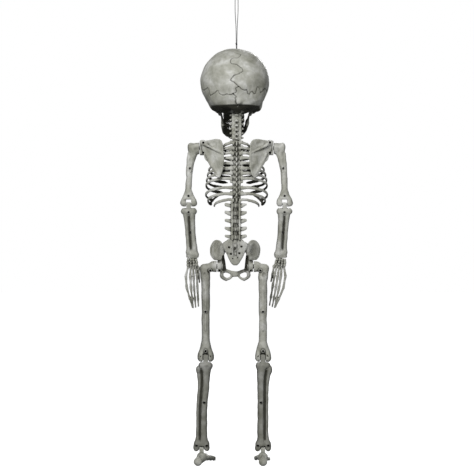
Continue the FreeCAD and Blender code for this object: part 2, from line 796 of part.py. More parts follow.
def pelvis():
    sway = "pelvis_sway"
    places = [(out(side, "34.3", sway), "hip_z - 8.6") for side in SIDES]
    holes, _ = screws("pelvis_screws", places, "2.5", "7")
    rear, front = [], []
    for side, s in SIDES.items():
        wing_turn = Rotation(Vector(0, 0, 1), -40 * s)
        wing_at = (out(side, "40", sway), "5", "hip_z + 36")
        wing = egg(f"wing_{side}", wing_at, ("18", "5", "22.5"), wing_turn)
        boss = side_rod(f"hip_boss_{side}", side, "12.5", ("24", "hip_x"), "0", "hip_z", sway)
        bar_size = (("27.5", "37"), ("-7", "9"), ("hip_z + 2", "hip_z + 30"))
        housing = fuse(f"hip_solid_{side}", [boss, side_block(f"hip_bar_{side}", side, *bar_size, sway)])
        room = peg_room(f"hip_{side}", side, "hip_peg", "27", "hip_x", "hip_z", sway)
        housing = cut(f"hip_housing_{side}", housing, fuse(f"hip_taken_{side}", room + holes))
        for split in (wing, housing):
            rear.append(cut(split.Name + "_rear", split, AHEAD))
            front.append(cut(split.Name + "_front", split, BEHIND))
        arm = (("14", "33"), ("8", "24"), ("hip_z + 30", "hip_z + 54"))
        rear.append(side_block(f"bridge_{side}", side, *arm, sway))
        centre = Vector(s * 19.5 + value(sway), -5.8, value("hip_z") - 19)
        ring = oval_prism(centre, 15, 12, 9.2).cut(oval_prism(centre, 8.6, 5.8, 9.2))
        front.append(shape_of(f"pubic_ring_{side}", ring))
        flare = (("36", "47"), ("-5.5", "-0"), ("hip_z + 16", "hip_z + 36"))
        front.append(side_block(f"flare_{side}", side, *flare, sway))
    across = (f"{sway} - 6.2", f"{sway} + 6.2")
    front.append(block("pubic_joint", across, (-14.4, -6.2), ("hip_z - 24", "hip_z - 11")))
    outline_x = ((24, 0), (19, 20), (5, 52))
    corners = [(x, f"sacrum_z - {drop}") for x, drop in outline_x]
    corners += [(-x, f"sacrum_z - {drop}") for x, drop in reversed(outline_x)]
    rear.append(put(padded("sacrum_wedge", corners, "16"), sway, "12", "0"))
    sub_part("pelvis_rear_half", fuse("pelvis_rear_half", rear))
    sub_part("pelvis_front_half", fuse("pelvis_front_half", front))


def oval_prism(centre, half_x, half_z, depth):
    """A straight oval prism that runs from its centre towards -Y."""
    oval = Part.Ellipse(Vector(), half_x, half_z)
    face = Part.Face(Part.Wire(oval.toShape()))
    face.rotate(Vector(), Vector(1, 0, 0), 90)
    face.translate(centre)
    return face.extrude(Vector(0, -depth, 0))


# ---------------------------------------------------------------- arms


def upper_arm(side):
    name = f"upper_arm_{side}"
    rows = (
        ("90", "shoulder_z + 12", "8", "7"),
        ("92", "shoulder_z + 5", "11", "10.5"),
        ("94", "shoulder_z - 8", "11", "10.5"),
        ("98", "shoulder_z - 24", "8.6", "8.4"),
        ("103", "shoulder_z - 50", "7.4", "7.2"),
        ("arm_x", "shoulder_z - 85", "7.4", "7"),
        ("arm_x", "elbow_z + 24", "8.4", "7"),
        ("arm_x", "elbow_z + 13", "14", "7.2"),
        ("arm_x", "elbow_z + 2", "16.5", "7.2"),
        ("arm_x", "elbow_z - 9", "15.5", "7"),
    )
    outer = loft(name, [(out(side, x), "0", z, wide, deep) for x, z, wide, deep in rows])
    inner_rows = rows[3:7]
    hollow = loft(
        name + "_hollow",
        [(out(side, x), "0", z, f"{wide} - wall", f"{deep} - wall") for x, z, wide, deep in inner_rows],
    )
    places = [(out(side, "102.5"), "shoulder_z - 45"), (out(side, "arm_x"), "elbow_z + 18")]
    holes, bosses = screws(f"upper_arm_screws_{side}", places, "3", "7")
    near = ("60", "seam_x + seam")
    face = side_block(name + "_face", side, near, (-30, 30), ("shoulder_z - 40", "shoulder_z + 40"))
    fork = fork_waste(name, side, "arm_x", "elbow_z", "7", "5.7", "10.5", "0")
    peg = "shoulder_peg + fitted"
    peg_hole = side_rod(name + "_peg_hole", side, peg, ("70", "93.2"), "0", "shoulder_z")
    pin_half = "13.5"
    pin_hole = pin_room(name, side, "elbow_pin", "arm_x", pin_half, "elbow_z", "0")
    limb(name, outer, hollow, bosses, holes + fork + [face, peg_hole, pin_hole])
    flanged_peg("shoulder_peg", side, "shoulder_peg", "64", "93", "shoulder_z", "0")
    hinge_pin("elbow_pin", side, "elbow_pin", "arm_x", pin_half, "elbow_z", "0")


def bend_elbow(side, item):
    """Swings a piece forward with the forearm, about the elbow pin."""
    bend = Rotation(Vector(1, 0, 0), -value("elbow_bend"))
    pivot = Vector(0, 0, value("elbow_z"))
    item.Placement = Placement(Vector(0, 0, 0), bend, pivot)
    return item


def forearm(side):
    name = f"forearm_{side}"
    slope = "(arm_x - wrist_x)"
    rows = (
        ("arm_x", "elbow_z - 9", "15", "8"),
        ("arm_x", "elbow_z - 16", "14.5", "8.2"),
        (f"arm_x - 0.25 * {slope}", "elbow_z - 30", "12.2", "7.6"),
        (f"arm_x - 0.6 * {slope}", "elbow_z - 65", "12", "7"),
        (f"arm_x - 0.85 * {slope}", "wrist_z + 24", "12", "6.8"),
        ("wrist_x", "wrist_z + 12", "13.6", "7.6"),
        ("wrist_x", "wrist_z + seam", "11", "7.2"),
    )
    outer = loft(name, [(out(side, x), "0", z, wide, deep) for x, z, wide, deep in rows])
    hollow = loft(
        name + "_hollow",
        [(out(side, x), "0", z, f"{wide} - wall", f"{deep} - wall") for x, z, wide, deep in rows[1:5]],
    )
    tab = hinge_tab(name, side, "arm_x", "elbow_z", "4.9", "4.2", "elbow_z - 14", "0")
    places = [(out(side, "arm_x"), "elbow_z - 17"), (out(side, "arm_x - 0.55 * " + slope), "elbow_z - 62")]
    holes, bosses = screws(f"forearm_screws_{side}", places, "3", "7")
    bore = side_rod(name + "_bore", side, "elbow_pin + running", ("arm_x - 8", "arm_x + 8"), "0", "elbow_z")
    grooves = [
        side_block(
            f"{name}_groove{i}",
            side,
            (f"arm_x - 0.5 * {slope} + 2.6", f"arm_x - 0.5 * {slope} + 4.4"),
            limits,
            ("wrist_z + 24", "elbow_z - 26"),
        )
        for i, limits in enumerate((("5.6", "20"), ("-20", "-5.6")))
    ]
    wrist = (out(side, "wrist_x"), "0", "wrist_z")
    neck_hole = rod(name + "_wrist_bore", "wrist_peg + running", wrist, "12", "+Z")
    rim = "wrist_peg + 2 + slack"
    pocket = rod(name + "_wrist_pocket", rim, (wrist[0], "0", "wrist_z + 9 - slack"), "2 + 2 * slack", "+Z")
    solid = fuse(name + "_outer", [outer] + tab)
    rear, front = limb(name, solid, hollow, bosses, holes + grooves + [bore, neck_hole, pocket])
    for item in (rear, front, nodes[f"forearm_screws_{side}"]):
        bend_elbow(side, item)


def hand(side):
    """The wrist peg, the wrist block and five fingers, in one moulding."""
    name = f"hand_{side}"
    s = SIDES[side]
    lean = {"L": 2, "R": 8}[side]  # degrees towards the body
    fingers = (
        # start x, knuckle x, tip x, tip drop, half thickness at the knuckle
        (-7.5, -13, -14, -62, 3.2),
        (-5, -9.5, -9, -107, 3.1),
        (-1.5, -3, -3.5, -116, 3.2),
        (2.5, 3.5, 3, -110, 3.0),
        (6.5, 10, 9, -96, 2.8),
    )
    wrist_block = loft(
        name + "_wrist",
        [
            ("0", "0", "-0.6", "9", "6"),
            ("0", "0", "-8", "11", "6.4"),
            ("0", "0", "-19", "11.5", "5.6"),
            ("0", "0", "-25", "10.5", "4.4"),
        ],
    )
    pieces = [wrist_block]
    for i, (start, knuckle, tip, drop, thick) in enumerate(fingers):
        knuckle_drop = 0.5 * drop
        rows = (
            (start, 0, -13, thick + 0.6),
            (0.5 * (start + knuckle), -1, 0.3 * drop, thick - 0.5),
            (knuckle, -2, knuckle_drop, thick + 0.4),
            (0.5 * (knuckle + tip), -5, 0.76 * drop, thick - 0.5),
            (tip, -11, drop, thick - 1.4),
        )
        pieces.append(loft(f"{name}_finger{i}", [(s * x, y, z, r, r) for x, y, z, r in rows]))
    palm = fuse(name + "_palm", pieces)
    palm.Placement = Placement(Vector(), Rotation(Vector(0, 1, 0), s * lean))
    profile = [
        ("0", "-6"),
        ("wrist_peg", "-6"),
        ("wrist_peg", "9"),
        ("wrist_peg + 2", "9"),
        ("wrist_peg + 2", "11"),
        ("0", "11"),
    ]
    peg = turned(name + "_peg", profile, "0", "0", "0", TURNS["+Z"])
    whole = fuse(name, [palm, peg])
    bend = Rotation(Vector(1, 0, 0), -value("elbow_bend"))
    pivot = Vector(0, 0, value("elbow_z"))
    wrist = Vector(value(out(side, "wrist_x")), 0, value("wrist_z"))
    whole.Placement = Placement(Vector(0, 0, 0), bend, pivot) * Placement(wrist, Rotation())
    sub_part(name, whole)


# ---------------------------------------------------------------- legs


def thigh(side):
    name = f"thigh_{side}"
    sway = "thigh_sway"
    rows = (
        ("leg_x + 1.5", "hip_z + 3", "8", "7"),
        ("leg_x + 1.5", "hip_z - 6", "9.8", "8.6"),
        ("leg_x + 1", "hip_z - 20", "10.2", "9.3"),
        ("leg_x + 0.5", "hip_z - 60", "9.8", "9.2"),
        ("leg_x", "hip_z - 120", "9", "8.8"),
        ("leg_x", "knee_z + 40", "9.2", "8.8"),
        ("leg_x", "knee_z + 24", "12.5", "9.6"),
        ("leg_x", "knee_z + 10", "16.5", "10.4"),
        ("leg_x", "knee_z - 2", "17", "10.6"),
        ("leg_x", "knee_z - 13", "15.5", "10.4"),
    )
    shaft = loft(name + "_shaft", [(out(side, x, sway), "0", z, w, d) for x, z, w, d in rows])
    # the hip seam follows the pelvis, the shaft hangs a little further out on one side
    head = side_rod(name + "_head", side, "12.5", ("hip_x + seam", "47"), "0", "hip_z", "pelvis_sway")
    collar = side_rod(name + "_collar", side, "8.5", ("46", "60"), "0", "hip_z - 1", "pelvis_sway")
    knob = egg(name + "_knob", (out(side, "leg_x + 3.5", sway), "1", "hip_z - 6"), ("7.5", "9.5", "10"))
    outer = fuse(name + "_outer", [shaft, head, collar, knob])
    hollow = loft(
        name + "_hollow",
        [(out(side, x, sway), "0", z, f"{w} - wall", f"{d} - wall") for x, z, w, d in rows[2:7]],
    )
    places = [
        (out(side, "55", "pelvis_sway"), "hip_z - 8.4"),
        (out(side, "leg_x", sway), "hip_z - 99"),
        (out(side, "leg_x", sway), "knee_z + 14"),
    ]
    holes, bosses = screws(f"thigh_screws_{side}", places, "3.5", "8")
    fork = fork_waste(name, side, "leg_x", "knee_z", "10.5", "6.4", "8.5", sway)
    peg = "hip_peg + fitted"
    peg_hole = side_rod(name + "_peg_hole", side, peg, ("35", "52.1"), "0", "hip_z", "pelvis_sway")
    pin_half = "14.5"
    pin_hole = pin_room(name, side, "knee_pin", "leg_x", pin_half, "knee_z", sway)
    limb(name, outer, hollow, bosses, holes + fork + [peg_hole, pin_hole])
    flanged_peg("hip_peg", side, "hip_peg", "27", "52", "hip_z", "pelvis_sway")
    hinge_pin("knee_pin", side, "knee_pin", "leg_x", pin_half, "knee_z", sway)


def shin(side):
    name = f"shin_{side}"
    knee, ankle = out(side, "leg_x", "thigh_sway"), out(side, "ankle_x", "ankle_sway")

    def along(part):
        return f"({knee}) + {part} * (({ankle}) - ({knee}))"

    rows = (
        (0.05, "knee_z - 14", "15.5", "11"),
        (0.3, "knee_z - 20", "17.6", "11.2"),
        (0.5, "knee_z - 29", "16.8", "10.4"),
        (0.7, "knee_z - 44", "13.4", "9"),
        (0.85, "knee_z - 85", "12.8", "8.4"),
        (1, "ankle_z + 60", "12.6", "7.8"),
        (1, "ankle_z + 26", "13", "7.4"),
        (1, "ankle_z + 12", "15.5", "7.2"),
        (1, "ankle_z + 1", "17", "7.2"),
        (1, "ankle_z - 8", "15.5", "7"),
    )
    shaft = loft(name + "_shaft", [(along(part), "0", z, w, d) for part, z, w, d in rows])
    hollow = loft(
        name + "_hollow",
        [(along(part), "0", z, f"{w} - wall", f"{d} - wall") for part, z, w, d in rows[1:7]],
    )
    tab = hinge_tab(name, side, "leg_x", "knee_z", "5.5", "6.8", "knee_z - 20", "thigh_sway")
    s = SIDES[side]
    places = [
        (f"{along(0.85)} - {s} * 4.4", "knee_z - 99"),
        (f"{ankle} - 11.2", "ankle_z + 7.5"),
        (f"{ankle} + 11.2", "ankle_z + 7.5"),
    ]
    holes, bosses = screws(f"shin_screws_{side}", places, "3", "7")
    limits = ("leg_x - 9", "leg_x + 9")
    bore = side_rod(name + "_bore", side, "knee_pin + running", limits, "0", "knee_z", "thigh_sway")
    grooves = []
    for i, limits in enumerate((("6.8", "20"), ("-20", "-6.8"))):
        near, far = f"{along(0.9)} + {s} * 3.2", f"{along(0.9)} + {s} * 5.2"
        across = (near, far) if s > 0 else (far, near)
        grooves.append(block(f"{name}_groove{i}", across, limits, ("ankle_z + 28", "knee_z - 40")))
    fork = fork_waste(name, side, "ankle_x", "ankle_z", "6.4", "5.4", "5.6", "ankle_sway")
    pin_half = "13.5"
    pin_hole = pin_room(name, side, "ankle_pin", "ankle_x", pin_half, "ankle_z", "ankle_sway")
    outer = fuse(name + "_outer", [shaft] + tab)
    limb(name, outer, hollow, bosses, holes + grooves + fork + [bore, pin_hole])
    hinge_pin("ankle_pin", side, "ankle_pin", "ankle_x", pin_half, "ankle_z", "ankle_sway")


def foot(side):
    """The ankle tongue, heel, arch and toes, in one moulding."""
    name = f"foot_{side}"
    s = SIDES[side]
    toe_in = {"L": 18, "R": 0}[side]
    upright = Rotation(Vector(1, 0, 0), 90)
    rows = (
        ("27", "11", "8", "7"),
        ("19", "11", "10.5", "10.4"),
        ("2", "13.5", "11.5", "10"),
        ("-18", "13.5", "13.5", "9"),
        ("-42", "10", "17", "6.5"),
        ("-64", "6.5", "19", "5"),
    )
    sole = "(sole_z - ankle_z)"
    toes = [loft(name + "_body", [("0", y, f"{sole} + {z}", w, t) for y, z, w, t in rows], upright)]
    for i in range(5):
        start = (s * (-14 + 7 * i), "-60", f"{sole} + 5")
        toes.append(rod(f"{name}_toe{i}", 4.4 if i == 0 else 3.2, start, 32 - 1.1 * i**1.6, "-Y"))
    whole_sole = fuse(name + "_sole", toes)
    whole_sole.Placement = Placement(Vector(), Rotation(Vector(0, 0, 1), -s * toe_in))
    tab = [
        block(name + "_post", ("-4.8", "4.8"), ("-4.4", "4.4"), ("-16", "0")),
        rod(name + "_eye", "4.4", ("-4.8", "0", "0"), "9.6", "+X"),
    ]
    bore = rod(name + "_bore", "ankle_pin + running", ("-8", "0", "0"), "16", "+X")
    whole = cut(name, fuse(name + "_fused", [whole_sole] + tab), bore)
    put(whole, out(side, "ankle_x", "ankle_sway"), "0", "ankle_z")
    sub_part(name, whole)


# ---------------------------------------------------------------- the whole figure

skull()
jaw()
cord()
neck()
rib_cage()
lumbar()
pelvis()
for one_side in SIDES:
    shoulder(one_side)
    upper_arm(one_side)
    forearm(one_side)
    hand(one_side)
    thigh(one_side)
    shin(one_side)
    foot(one_side)
doc.recompute()

failed = [i.Label for i in doc.Objects if any(w in i.State for w in ("Invalid", "Error"))]
if failed:
    raise RuntimeError(f"these failed: {failed}")
for node, item in nodes.items():
    if item.Shape.isNull() or not item.Shape.isValid():
        raise RuntimeError(f"{node} has no valid shape")

os.makedirs("parts", exist_ok=True)
for node, item in nodes.items():
    item.Shape.exportStep(f"parts/{node}.step")
    print(node, len(item.Shape.Solids), "solids", round(item.Shape.Volume), "mm3")
print(len(nodes), "sub-parts")
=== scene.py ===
from math import atan2, cos, pi, radians, sin

import bpy
import numpy as np
import openvdb
from mathutils import Matrix, Vector


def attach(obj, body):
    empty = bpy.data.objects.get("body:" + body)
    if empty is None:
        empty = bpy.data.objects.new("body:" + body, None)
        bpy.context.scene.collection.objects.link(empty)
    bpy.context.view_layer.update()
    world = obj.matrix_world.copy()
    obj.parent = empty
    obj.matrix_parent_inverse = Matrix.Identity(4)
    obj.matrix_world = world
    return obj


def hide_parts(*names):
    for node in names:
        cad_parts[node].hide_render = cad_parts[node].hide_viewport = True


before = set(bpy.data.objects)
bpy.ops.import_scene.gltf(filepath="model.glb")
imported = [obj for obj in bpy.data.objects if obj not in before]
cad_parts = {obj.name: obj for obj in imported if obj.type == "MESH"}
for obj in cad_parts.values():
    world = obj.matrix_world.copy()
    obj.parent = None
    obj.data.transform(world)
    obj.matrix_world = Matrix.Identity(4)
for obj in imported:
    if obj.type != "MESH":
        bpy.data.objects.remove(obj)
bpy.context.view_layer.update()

# Every bone is shaped as a distance field in millimetres, then cast into a mesh in metres. The field
# also gives each point how deep it lies in a hollow and how sharp an edge it is on, for painted shade in the
# hollows and a painted highlight on the edges.

MM = 0.001
FAR = 12.0
REACH = 6.0
SIDES = {"L": 1, "R": -1}
HEAD_TURN = 4
NECK_Y = 20
ELBOW_Z = -451.5
ELBOW_BEND = 10
HIP_Z = -588.5
KNEE_Z = -788
ANKLE_Z = -989
SOLE_Z = -1024
SHOULDER_Z = -328
WRIST_Z = -572
ARM_X = 105.6
WRIST_X = 98.5
PELVIS_SWAY = 3
THIGH_SWAY = 5
ANKLE_SWAY = 9.5
LEG_X = 63
ANKLE_X = 67.5


# ---------------------------------------------------------------- camera, light and floor

VIEW_DISTANCE = 3.5
VIEW_SIZE = 1.043  # the side of the square seen at the figure, in metres
camera = bpy.data.objects.new("camera", bpy.data.cameras.new("camera"))
bpy.context.scene.collection.objects.link(camera)
camera.location = (-0.0009, VIEW_DISTANCE, -0.5236)
camera.rotation_euler = (pi / 2, 0, pi)
camera.data.sensor_width = 36
camera.data.lens = camera.data.sensor_width * VIEW_DISTANCE / VIEW_SIZE
bpy.context.scene.camera = camera
bpy.context.scene.view_settings.view_transform = "Standard"


def area_light(name, place, target, size, power, colour=(1, 1, 1)):
    light = bpy.data.lights.new(name, "AREA")
    light.shape = "DISK"
    light.size = size
    light.energy = power
    light.color = colour
    lamp = bpy.data.objects.new(name, light)
    bpy.context.scene.collection.objects.link(lamp)
    lamp.location = place
    aim = Vector(target) - Vector(place)
    lamp.rotation_euler = aim.to_track_quat("-Z", "Y").to_euler()


area_light("key", (0.95, 2.6, 1.0), (0, 0, -0.4), 0.7, 67)
area_light("fill", (-1.5, 2.8, -0.1), (0, 0, -0.5), 0.8, 19)
area_light("front", (-0.8, -3.2, 0.9), (0, 0, -0.5), 1.2, 72)

world = bpy.data.worlds.new("studio")
bpy.context.scene.world = world
world.use_nodes = True
sky = world.node_tree.nodes["Background"]
sky.inputs["Color"].default_value = (1, 1, 1, 1)
dim = world.node_tree.nodes.new("ShaderNodeBackground")
dim.inputs["Color"].default_value = (0.92, 0.95, 1, 1)
dim.inputs["Strength"].default_value = 0.13
sky.inputs["Strength"].default_value = 1.0
seen = world.node_tree.nodes.new("ShaderNodeLightPath")
either = world.node_tree.nodes.new("ShaderNodeMixShader")
links = world.node_tree.links
links.new(seen.outputs["Is Camera Ray"], either.inputs["Fac"])
links.new(dim.outputs[0], either.inputs[1])
links.new(sky.outputs[0], either.inputs[2])
links.new(either.outputs[0], world.node_tree.nodes["World Output"].inputs["Surface"])


# ---------------------------------------------------------------- materials


def new_material(name):
    material = bpy.data.materials.new(name)
    material.use_nodes = True
    tree = material.node_tree
    return material, tree, tree.nodes["Principled BSDF"]


def noise(tree, scale, detail=4, roughness=0.55, distortion=0.0):
    """A noise pattern on the piece's own coordinates."""
    place = tree.nodes.new("ShaderNodeTexCoord")
    pattern = tree.nodes.new("ShaderNodeTexNoise")
    pattern.inputs["Scale"].default_value = scale
    pattern.inputs["Detail"].default_value = detail
    pattern.inputs["Roughness"].default_value = roughness
    pattern.inputs["Distortion"].default_value = distortion
    tree.links.new(place.outputs["Object"], pattern.inputs["Vector"])
    return pattern.outputs["Fac"]


def ramp(tree, value, stops):
    """A colour or grey for each place along a value."""
    band = tree.nodes.new("ShaderNodeValToRGB")
    tree.links.new(value, band.inputs["Fac"])
    elements = band.color_ramp.elements
    while len(elements) < len(stops):
        elements.new(0.5)
    for element, (place, colour) in zip(elements, stops):
        element.position = place
        element.color = (*colour, 1) if len(colour) == 3 else (colour[0],) * 3 + (1,)
    return band.outputs["Color"]


def mix(tree, factor, first, second, kind="MIX"):
    node = tree.nodes.new("ShaderNodeMix")
    node.data_type = "RGBA"
    node.blend_type = kind
    for socket, item in ((node.inputs[0], factor), (node.inputs[6], first), (node.inputs[7], second)):
        if isinstance(item, (int, float)):
            socket.default_value = item
        elif isinstance(item, tuple):
            socket.default_value = (*item, 1)
        else:
            tree.links.new(item, socket)
    return node.outputs[2]


def painted(tree, name):
    """A number that the casting stored on each point."""
    node = tree.nodes.new("ShaderNodeAttribute")
    node.attribute_name = name
    return node.outputs["Fac"]


def bump(tree, shader, *layers):
    """Stacks relief patterns, each (value, height in metres)."""
    before = None
    for value, height in layers:
        node = tree.nodes.new("ShaderNodeBump")
        node.inputs["Strength"].default_value = 1
        node.inputs["Distance"].default_value = height
        tree.links.new(value, node.inputs["Height"])
        if before:
            tree.links.new(before, node.inputs["Normal"])
        before = node.outputs["Normal"]
    tree.links.new(before, shader.inputs["Normal"])


def bone_material():
    """Moulded plastic, with painted shade darkening the hollows and a painted highlight lightening thin
    edges.
    """
    material, tree, shader = new_material("aged_bone")
    blotches = ramp(
        tree,
        noise(tree, 34, 5, 0.6, 0.4),
        [(0.3, (0.33, 0.33, 0.27)), (0.5, (0.5, 0.5, 0.44)), (0.68, (0.72, 0.72, 0.68))],
    )
    streaks = ramp(tree, noise(tree, 150, 6, 0.65), [(0.35, (0.8,)), (0.65, (1.0,))])
    base = mix(tree, 0.75, blotches, streaks, "MULTIPLY")
    # painted highlight: thin edges are lightened towards a pale tone
    edge = ramp(tree, painted(tree, "edge"), [(0.15, (0,)), (0.75, (0.55,))])
    base = mix(tree, edge, base, (0.66, 0.66, 0.62))
    # painted shade: hollows and shaded places are darkened nearly to black
    shade_paint = ramp(tree, painted(tree, "shade_paint"), [(0.1, (0,)), (0.3, (0.45,)), (0.62, (0.97,))])
    base = mix(tree, shade_paint, base, (0.035, 0.034, 0.024))
    tree.links.new(base, shader.inputs["Base Color"])
    gloss = ramp(tree, noise(tree, 90, 3), [(0.3, (0.5,)), (0.7, (0.68,))])
    tree.links.new(gloss, shader.inputs["Roughness"])
    shader.inputs["Specular IOR Level"].default_value = 0.18
    bump(tree, shader, (noise(tree, 60, 4), 0.0011), (noise(tree, 420, 5, 0.6), 0.00035))
    return material


def plastic_material():
    """Turned pins and pegs: the same plastic, without the painted shade and highlight, and a little
    smoother.
    """
    material, tree, shader = new_material("pin_plastic")
    tone = ramp(tree, noise(tree, 260, 4), [(0.3, (0.3, 0.3, 0.26)), (0.7, (0.44, 0.44, 0.4))])
    tree.links.new(tone, shader.inputs["Base Color"])
    gloss = ramp(tree, noise(tree, 500, 3), [(0.3, (0.35,)), (0.7, (0.5,))])
    tree.links.new(gloss, shader.inputs["Roughness"])
    bump(tree, shader, (noise(tree, 900, 3), 0.0001))
    return material


def steel_material():
    """Blackened screw heads with fine turning marks."""
    material, tree, shader = new_material("dark_screw_steel")
    tone = ramp(tree, noise(tree, 700, 4, 0.7), [(0.3, (0.02, 0.02, 0.019)), (0.75, (0.075, 0.073, 0.068))])
    tree.links.new(tone, shader.inputs["Base Color"])
    shader.inputs["Metallic"].default_value = 0.85
    gloss = ramp(tree, noise(tree, 1200, 3), [(0.3, (0.38,)), (0.7, (0.6,))])
    tree.links.new(gloss, shader.inputs["Roughness"])
    bump(tree, shader, (noise(tree, 2500, 2), 0.00006))
    return material


def cord_material():
    """Dark twisted thread: slanting ply lines and a little fuzz."""
    material, tree, shader = new_material("dark_cord")
    place = tree.nodes.new("ShaderNodeTexCoord")
    slope = tree.nodes.new("ShaderNodeMapping")
    slope.inputs["Rotation"].default_value = (0.5, 0.6, 0.3)
    ply = tree.nodes.new("ShaderNodeTexWave")
    ply.inputs["Scale"].default_value = 330
    ply.inputs["Distortion"].default_value = 1.2
    tree.links.new(place.outputs["Object"], slope.inputs["Vector"])
    tree.links.new(slope.outputs["Vector"], ply.inputs["Vector"])
    tone = ramp(tree, ply.outputs["Fac"], [(0.2, (0.006, 0.006, 0.006)), (0.8, (0.035, 0.033, 0.032))])
    tree.links.new(tone, shader.inputs["Base Color"])
    shader.inputs["Roughness"].default_value = 0.85
    shader.inputs["Sheen Weight"].default_value = 0.2
    bump(tree, shader, (ply.outputs["Fac"], 0.0002), (noise(tree, 3000, 2), 0.0001))
    return material


BONE = bone_material()
PLASTIC = plastic_material()
STEEL = steel_material()
CORD = cord_material()

floor_mesh = bpy.data.meshes.new("studio_floor")
FLOOR_Z = SOLE_Z * MM - 0.045
HALF = 12
floor_mesh.from_pydata(
    [(-HALF, -HALF, FLOOR_Z), (HALF, -HALF, FLOOR_Z), (HALF, HALF, FLOOR_Z), (-HALF, HALF, FLOOR_Z)],
    [], [(0, 1, 2, 3)],
)
floor = bpy.data.objects.new("studio_floor", floor_mesh)
bpy.context.scene.collection.objects.link(floor)
pale, _, pale_shader = new_material("pale_floor")
pale_shader.inputs["Base Color"].default_value = (0.35, 0.35, 0.35, 1)
pale_shader.inputs["Roughness"].default_value = 0.9
pale_shader.inputs["Emission Color"].default_value = (1, 1, 1, 1)
pale_shader.inputs["Emission Strength"].default_value = 0.97
floor_mesh.materials.append(pale)
floor.visible_diffuse = False
floor.visible_glossy = False


# ---------------------------------------------------------------- hanging cord

STRAND = 0.7
ROUTE = (
    (-0.75, -114),
    (-0.75, -66),
    (-3.3, -32),
    (-3.3, -4.9),
    (-3.3, -0.7),
    (3.3, -0.7),
    (3.3, -4.9),
    (3.3, -32),
    (0.75, -66),
    (0.75, -114),
)
line = bpy.data.curves.new("cord_line", "CURVE")
line.dimensions = "3D"
line.bevel_depth = STRAND * MM
line.bevel_resolution = 4
line.resolution_u = 24
spline = line.splines.new("NURBS")
spline.points.add(len(ROUTE) - 1)
for point, (x, z) in zip(spline.points, ROUTE):
    point.co = (x * MM, 0, z * MM, 1)
spline.order_u = 3
spline.use_endpoint_u = True
cord = bpy.data.objects.new("cord_line", line)
bpy.context.scene.collection.objects.link(cord)
line.materials.append(CORD)
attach(cord, "skull")
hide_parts("hanging_cord")


# ---------------------------------------------------------------- distance fields


def spread(axes):
    """Each axis laid along its own direction, so that the three work together as a grid."""
    return [axis.reshape([-1 if i == j else 1 for j in range(3)]) for i, axis in enumerate(axes)]


def smooth_min(a, b, soft):
    if soft <= 0:
        return np.minimum(a, b)
    near = np.maximum(soft - np.abs(a - b), 0) / soft
    return np.minimum(a, b) - near * near * soft * 0.25


def rod(a, b, ra, rb=None, squeeze=None):
    """A round bar that may taper. squeeze=(direction, s) makes it s times as wide in that direction."""
    rb = ra if rb is None else rb
    a, b = np.array(a, float), np.array(b, float)
    way, wider = (np.zeros(3), 1) if squeeze is None else (np.array(squeeze[0], float), squeeze[1])
    reach = max(ra, rb) * max(1, wider)
    shrink = 1 / wider - 1
    run = b - a
    run = run + shrink * (run @ way) * way
    span = max(run @ run, 1e-6)

    def distance(x, y, z):
        px, py, pz = x - a[0], y - a[1], z - a[2]
        if shrink:
            along = shrink * (px * way[0] + py * way[1] + pz * way[2])
            px, py, pz = px + along * way[0], py + along * way[1], pz + along * way[2]
        t = np.clip((px * run[0] + py * run[1] + pz * run[2]) / span, 0, 1)
        gap = (px - t * run[0]) ** 2 + (py - t * run[1]) ** 2 + (pz - t * run[2]) ** 2
        return np.sqrt(gap) - (ra + (rb - ra) * t)

    return np.minimum(a, b) - reach, np.maximum(a, b) + reach, distance


def turned(axis, degrees):
    """A rotation as a 3 x 3 array."""
    return np.array(Matrix.Rotation(radians(degrees), 3, axis))


def ball(centre, radii, turn=None):
    """An ellipsoid with half sizes along X, Y and Z."""
    radii = np.array([radii] * 3 if isinstance(radii, (int, float)) else radii, float)
    centre = np.array(centre, float)
    turn = np.eye(3) if turn is None else turn
    box = np.abs(turn) @ radii

    def distance(x, y, z):
        p = (x - centre[0], y - centre[1], z - centre[2])
        q = [sum(turn[j, i] * p[j] for j in range(3)) for i in range(3)]
        k0 = np.sqrt(sum((q[i] / radii[i]) ** 2 for i in range(3)))
        k1 = np.sqrt(sum((q[i] / radii[i] ** 2) ** 2 for i in range(3))) + 1e-6
        return k0 * (k0 - 1) / k1

    return centre - box, centre + box, distance


def slab(low, high, rounding=0.0):
    """A box with rounded edges."""
    low, high = np.minimum(low, high).astype(float), np.maximum(low, high).astype(float)
    centre, half = (low + high) / 2, (high - low) / 2 - rounding

    def distance(x, y, z):
        q = [np.abs(v - c) - h for v, c, h in zip((x, y, z), centre, half)]
        outside = np.sqrt(sum(np.maximum(v, 0) ** 2 for v in q))
        return outside + np.minimum(np.maximum(np.maximum(q[0], q[1]), q[2]), 0) - rounding

    return low, high, distance


def plate(corners, origin, across, up, half, rounding):
    """A flat plate with an outline, given in the plane of across and up."""
    origin, across, up = (np.array(v, float) for v in (origin, across, up))
    normal = np.cross(across, up)
    corners = np.array(corners, float)
    spots = origin + corners[:, :1] * across + corners[:, 1:] * up
    spread = half + rounding

    def distance(x, y, z):
        px, py, pz = x - origin[0], y - origin[1], z - origin[2]
        u, v, w = (px * d[0] + py * d[1] + pz * d[2] for d in (across, up, normal))
        best, sign = None, 1.0
        for (ax, ay), (bx, by) in zip(corners, np.roll(corners, -1, 0)):
            ex, ey = bx - ax, by - ay
            t = np.clip(((u - ax) * ex + (v - ay) * ey) / (ex * ex + ey * ey), 0, 1)
            gap = (u - ax - t * ex) ** 2 + (v - ay - t * ey) ** 2
            best = gap if best is None else np.minimum(best, gap)
            crossing = ((ay > v) != (by > v)) & (u < ex * (v - ay) / (ey if ey else 1e-9) + ax)
            sign = np.where(crossing, -sign, sign)
        flat = np.sqrt(best) * sign
        thick = np.abs(w) - half
        outside = np.sqrt(np.maximum(flat, 0) ** 2 + np.maximum(thick, 0) ** 2)
        return outside + np.minimum(np.maximum(flat, thick), 0) - rounding

    return spots.min(0) - spread, spots.max(0) + spread, distance


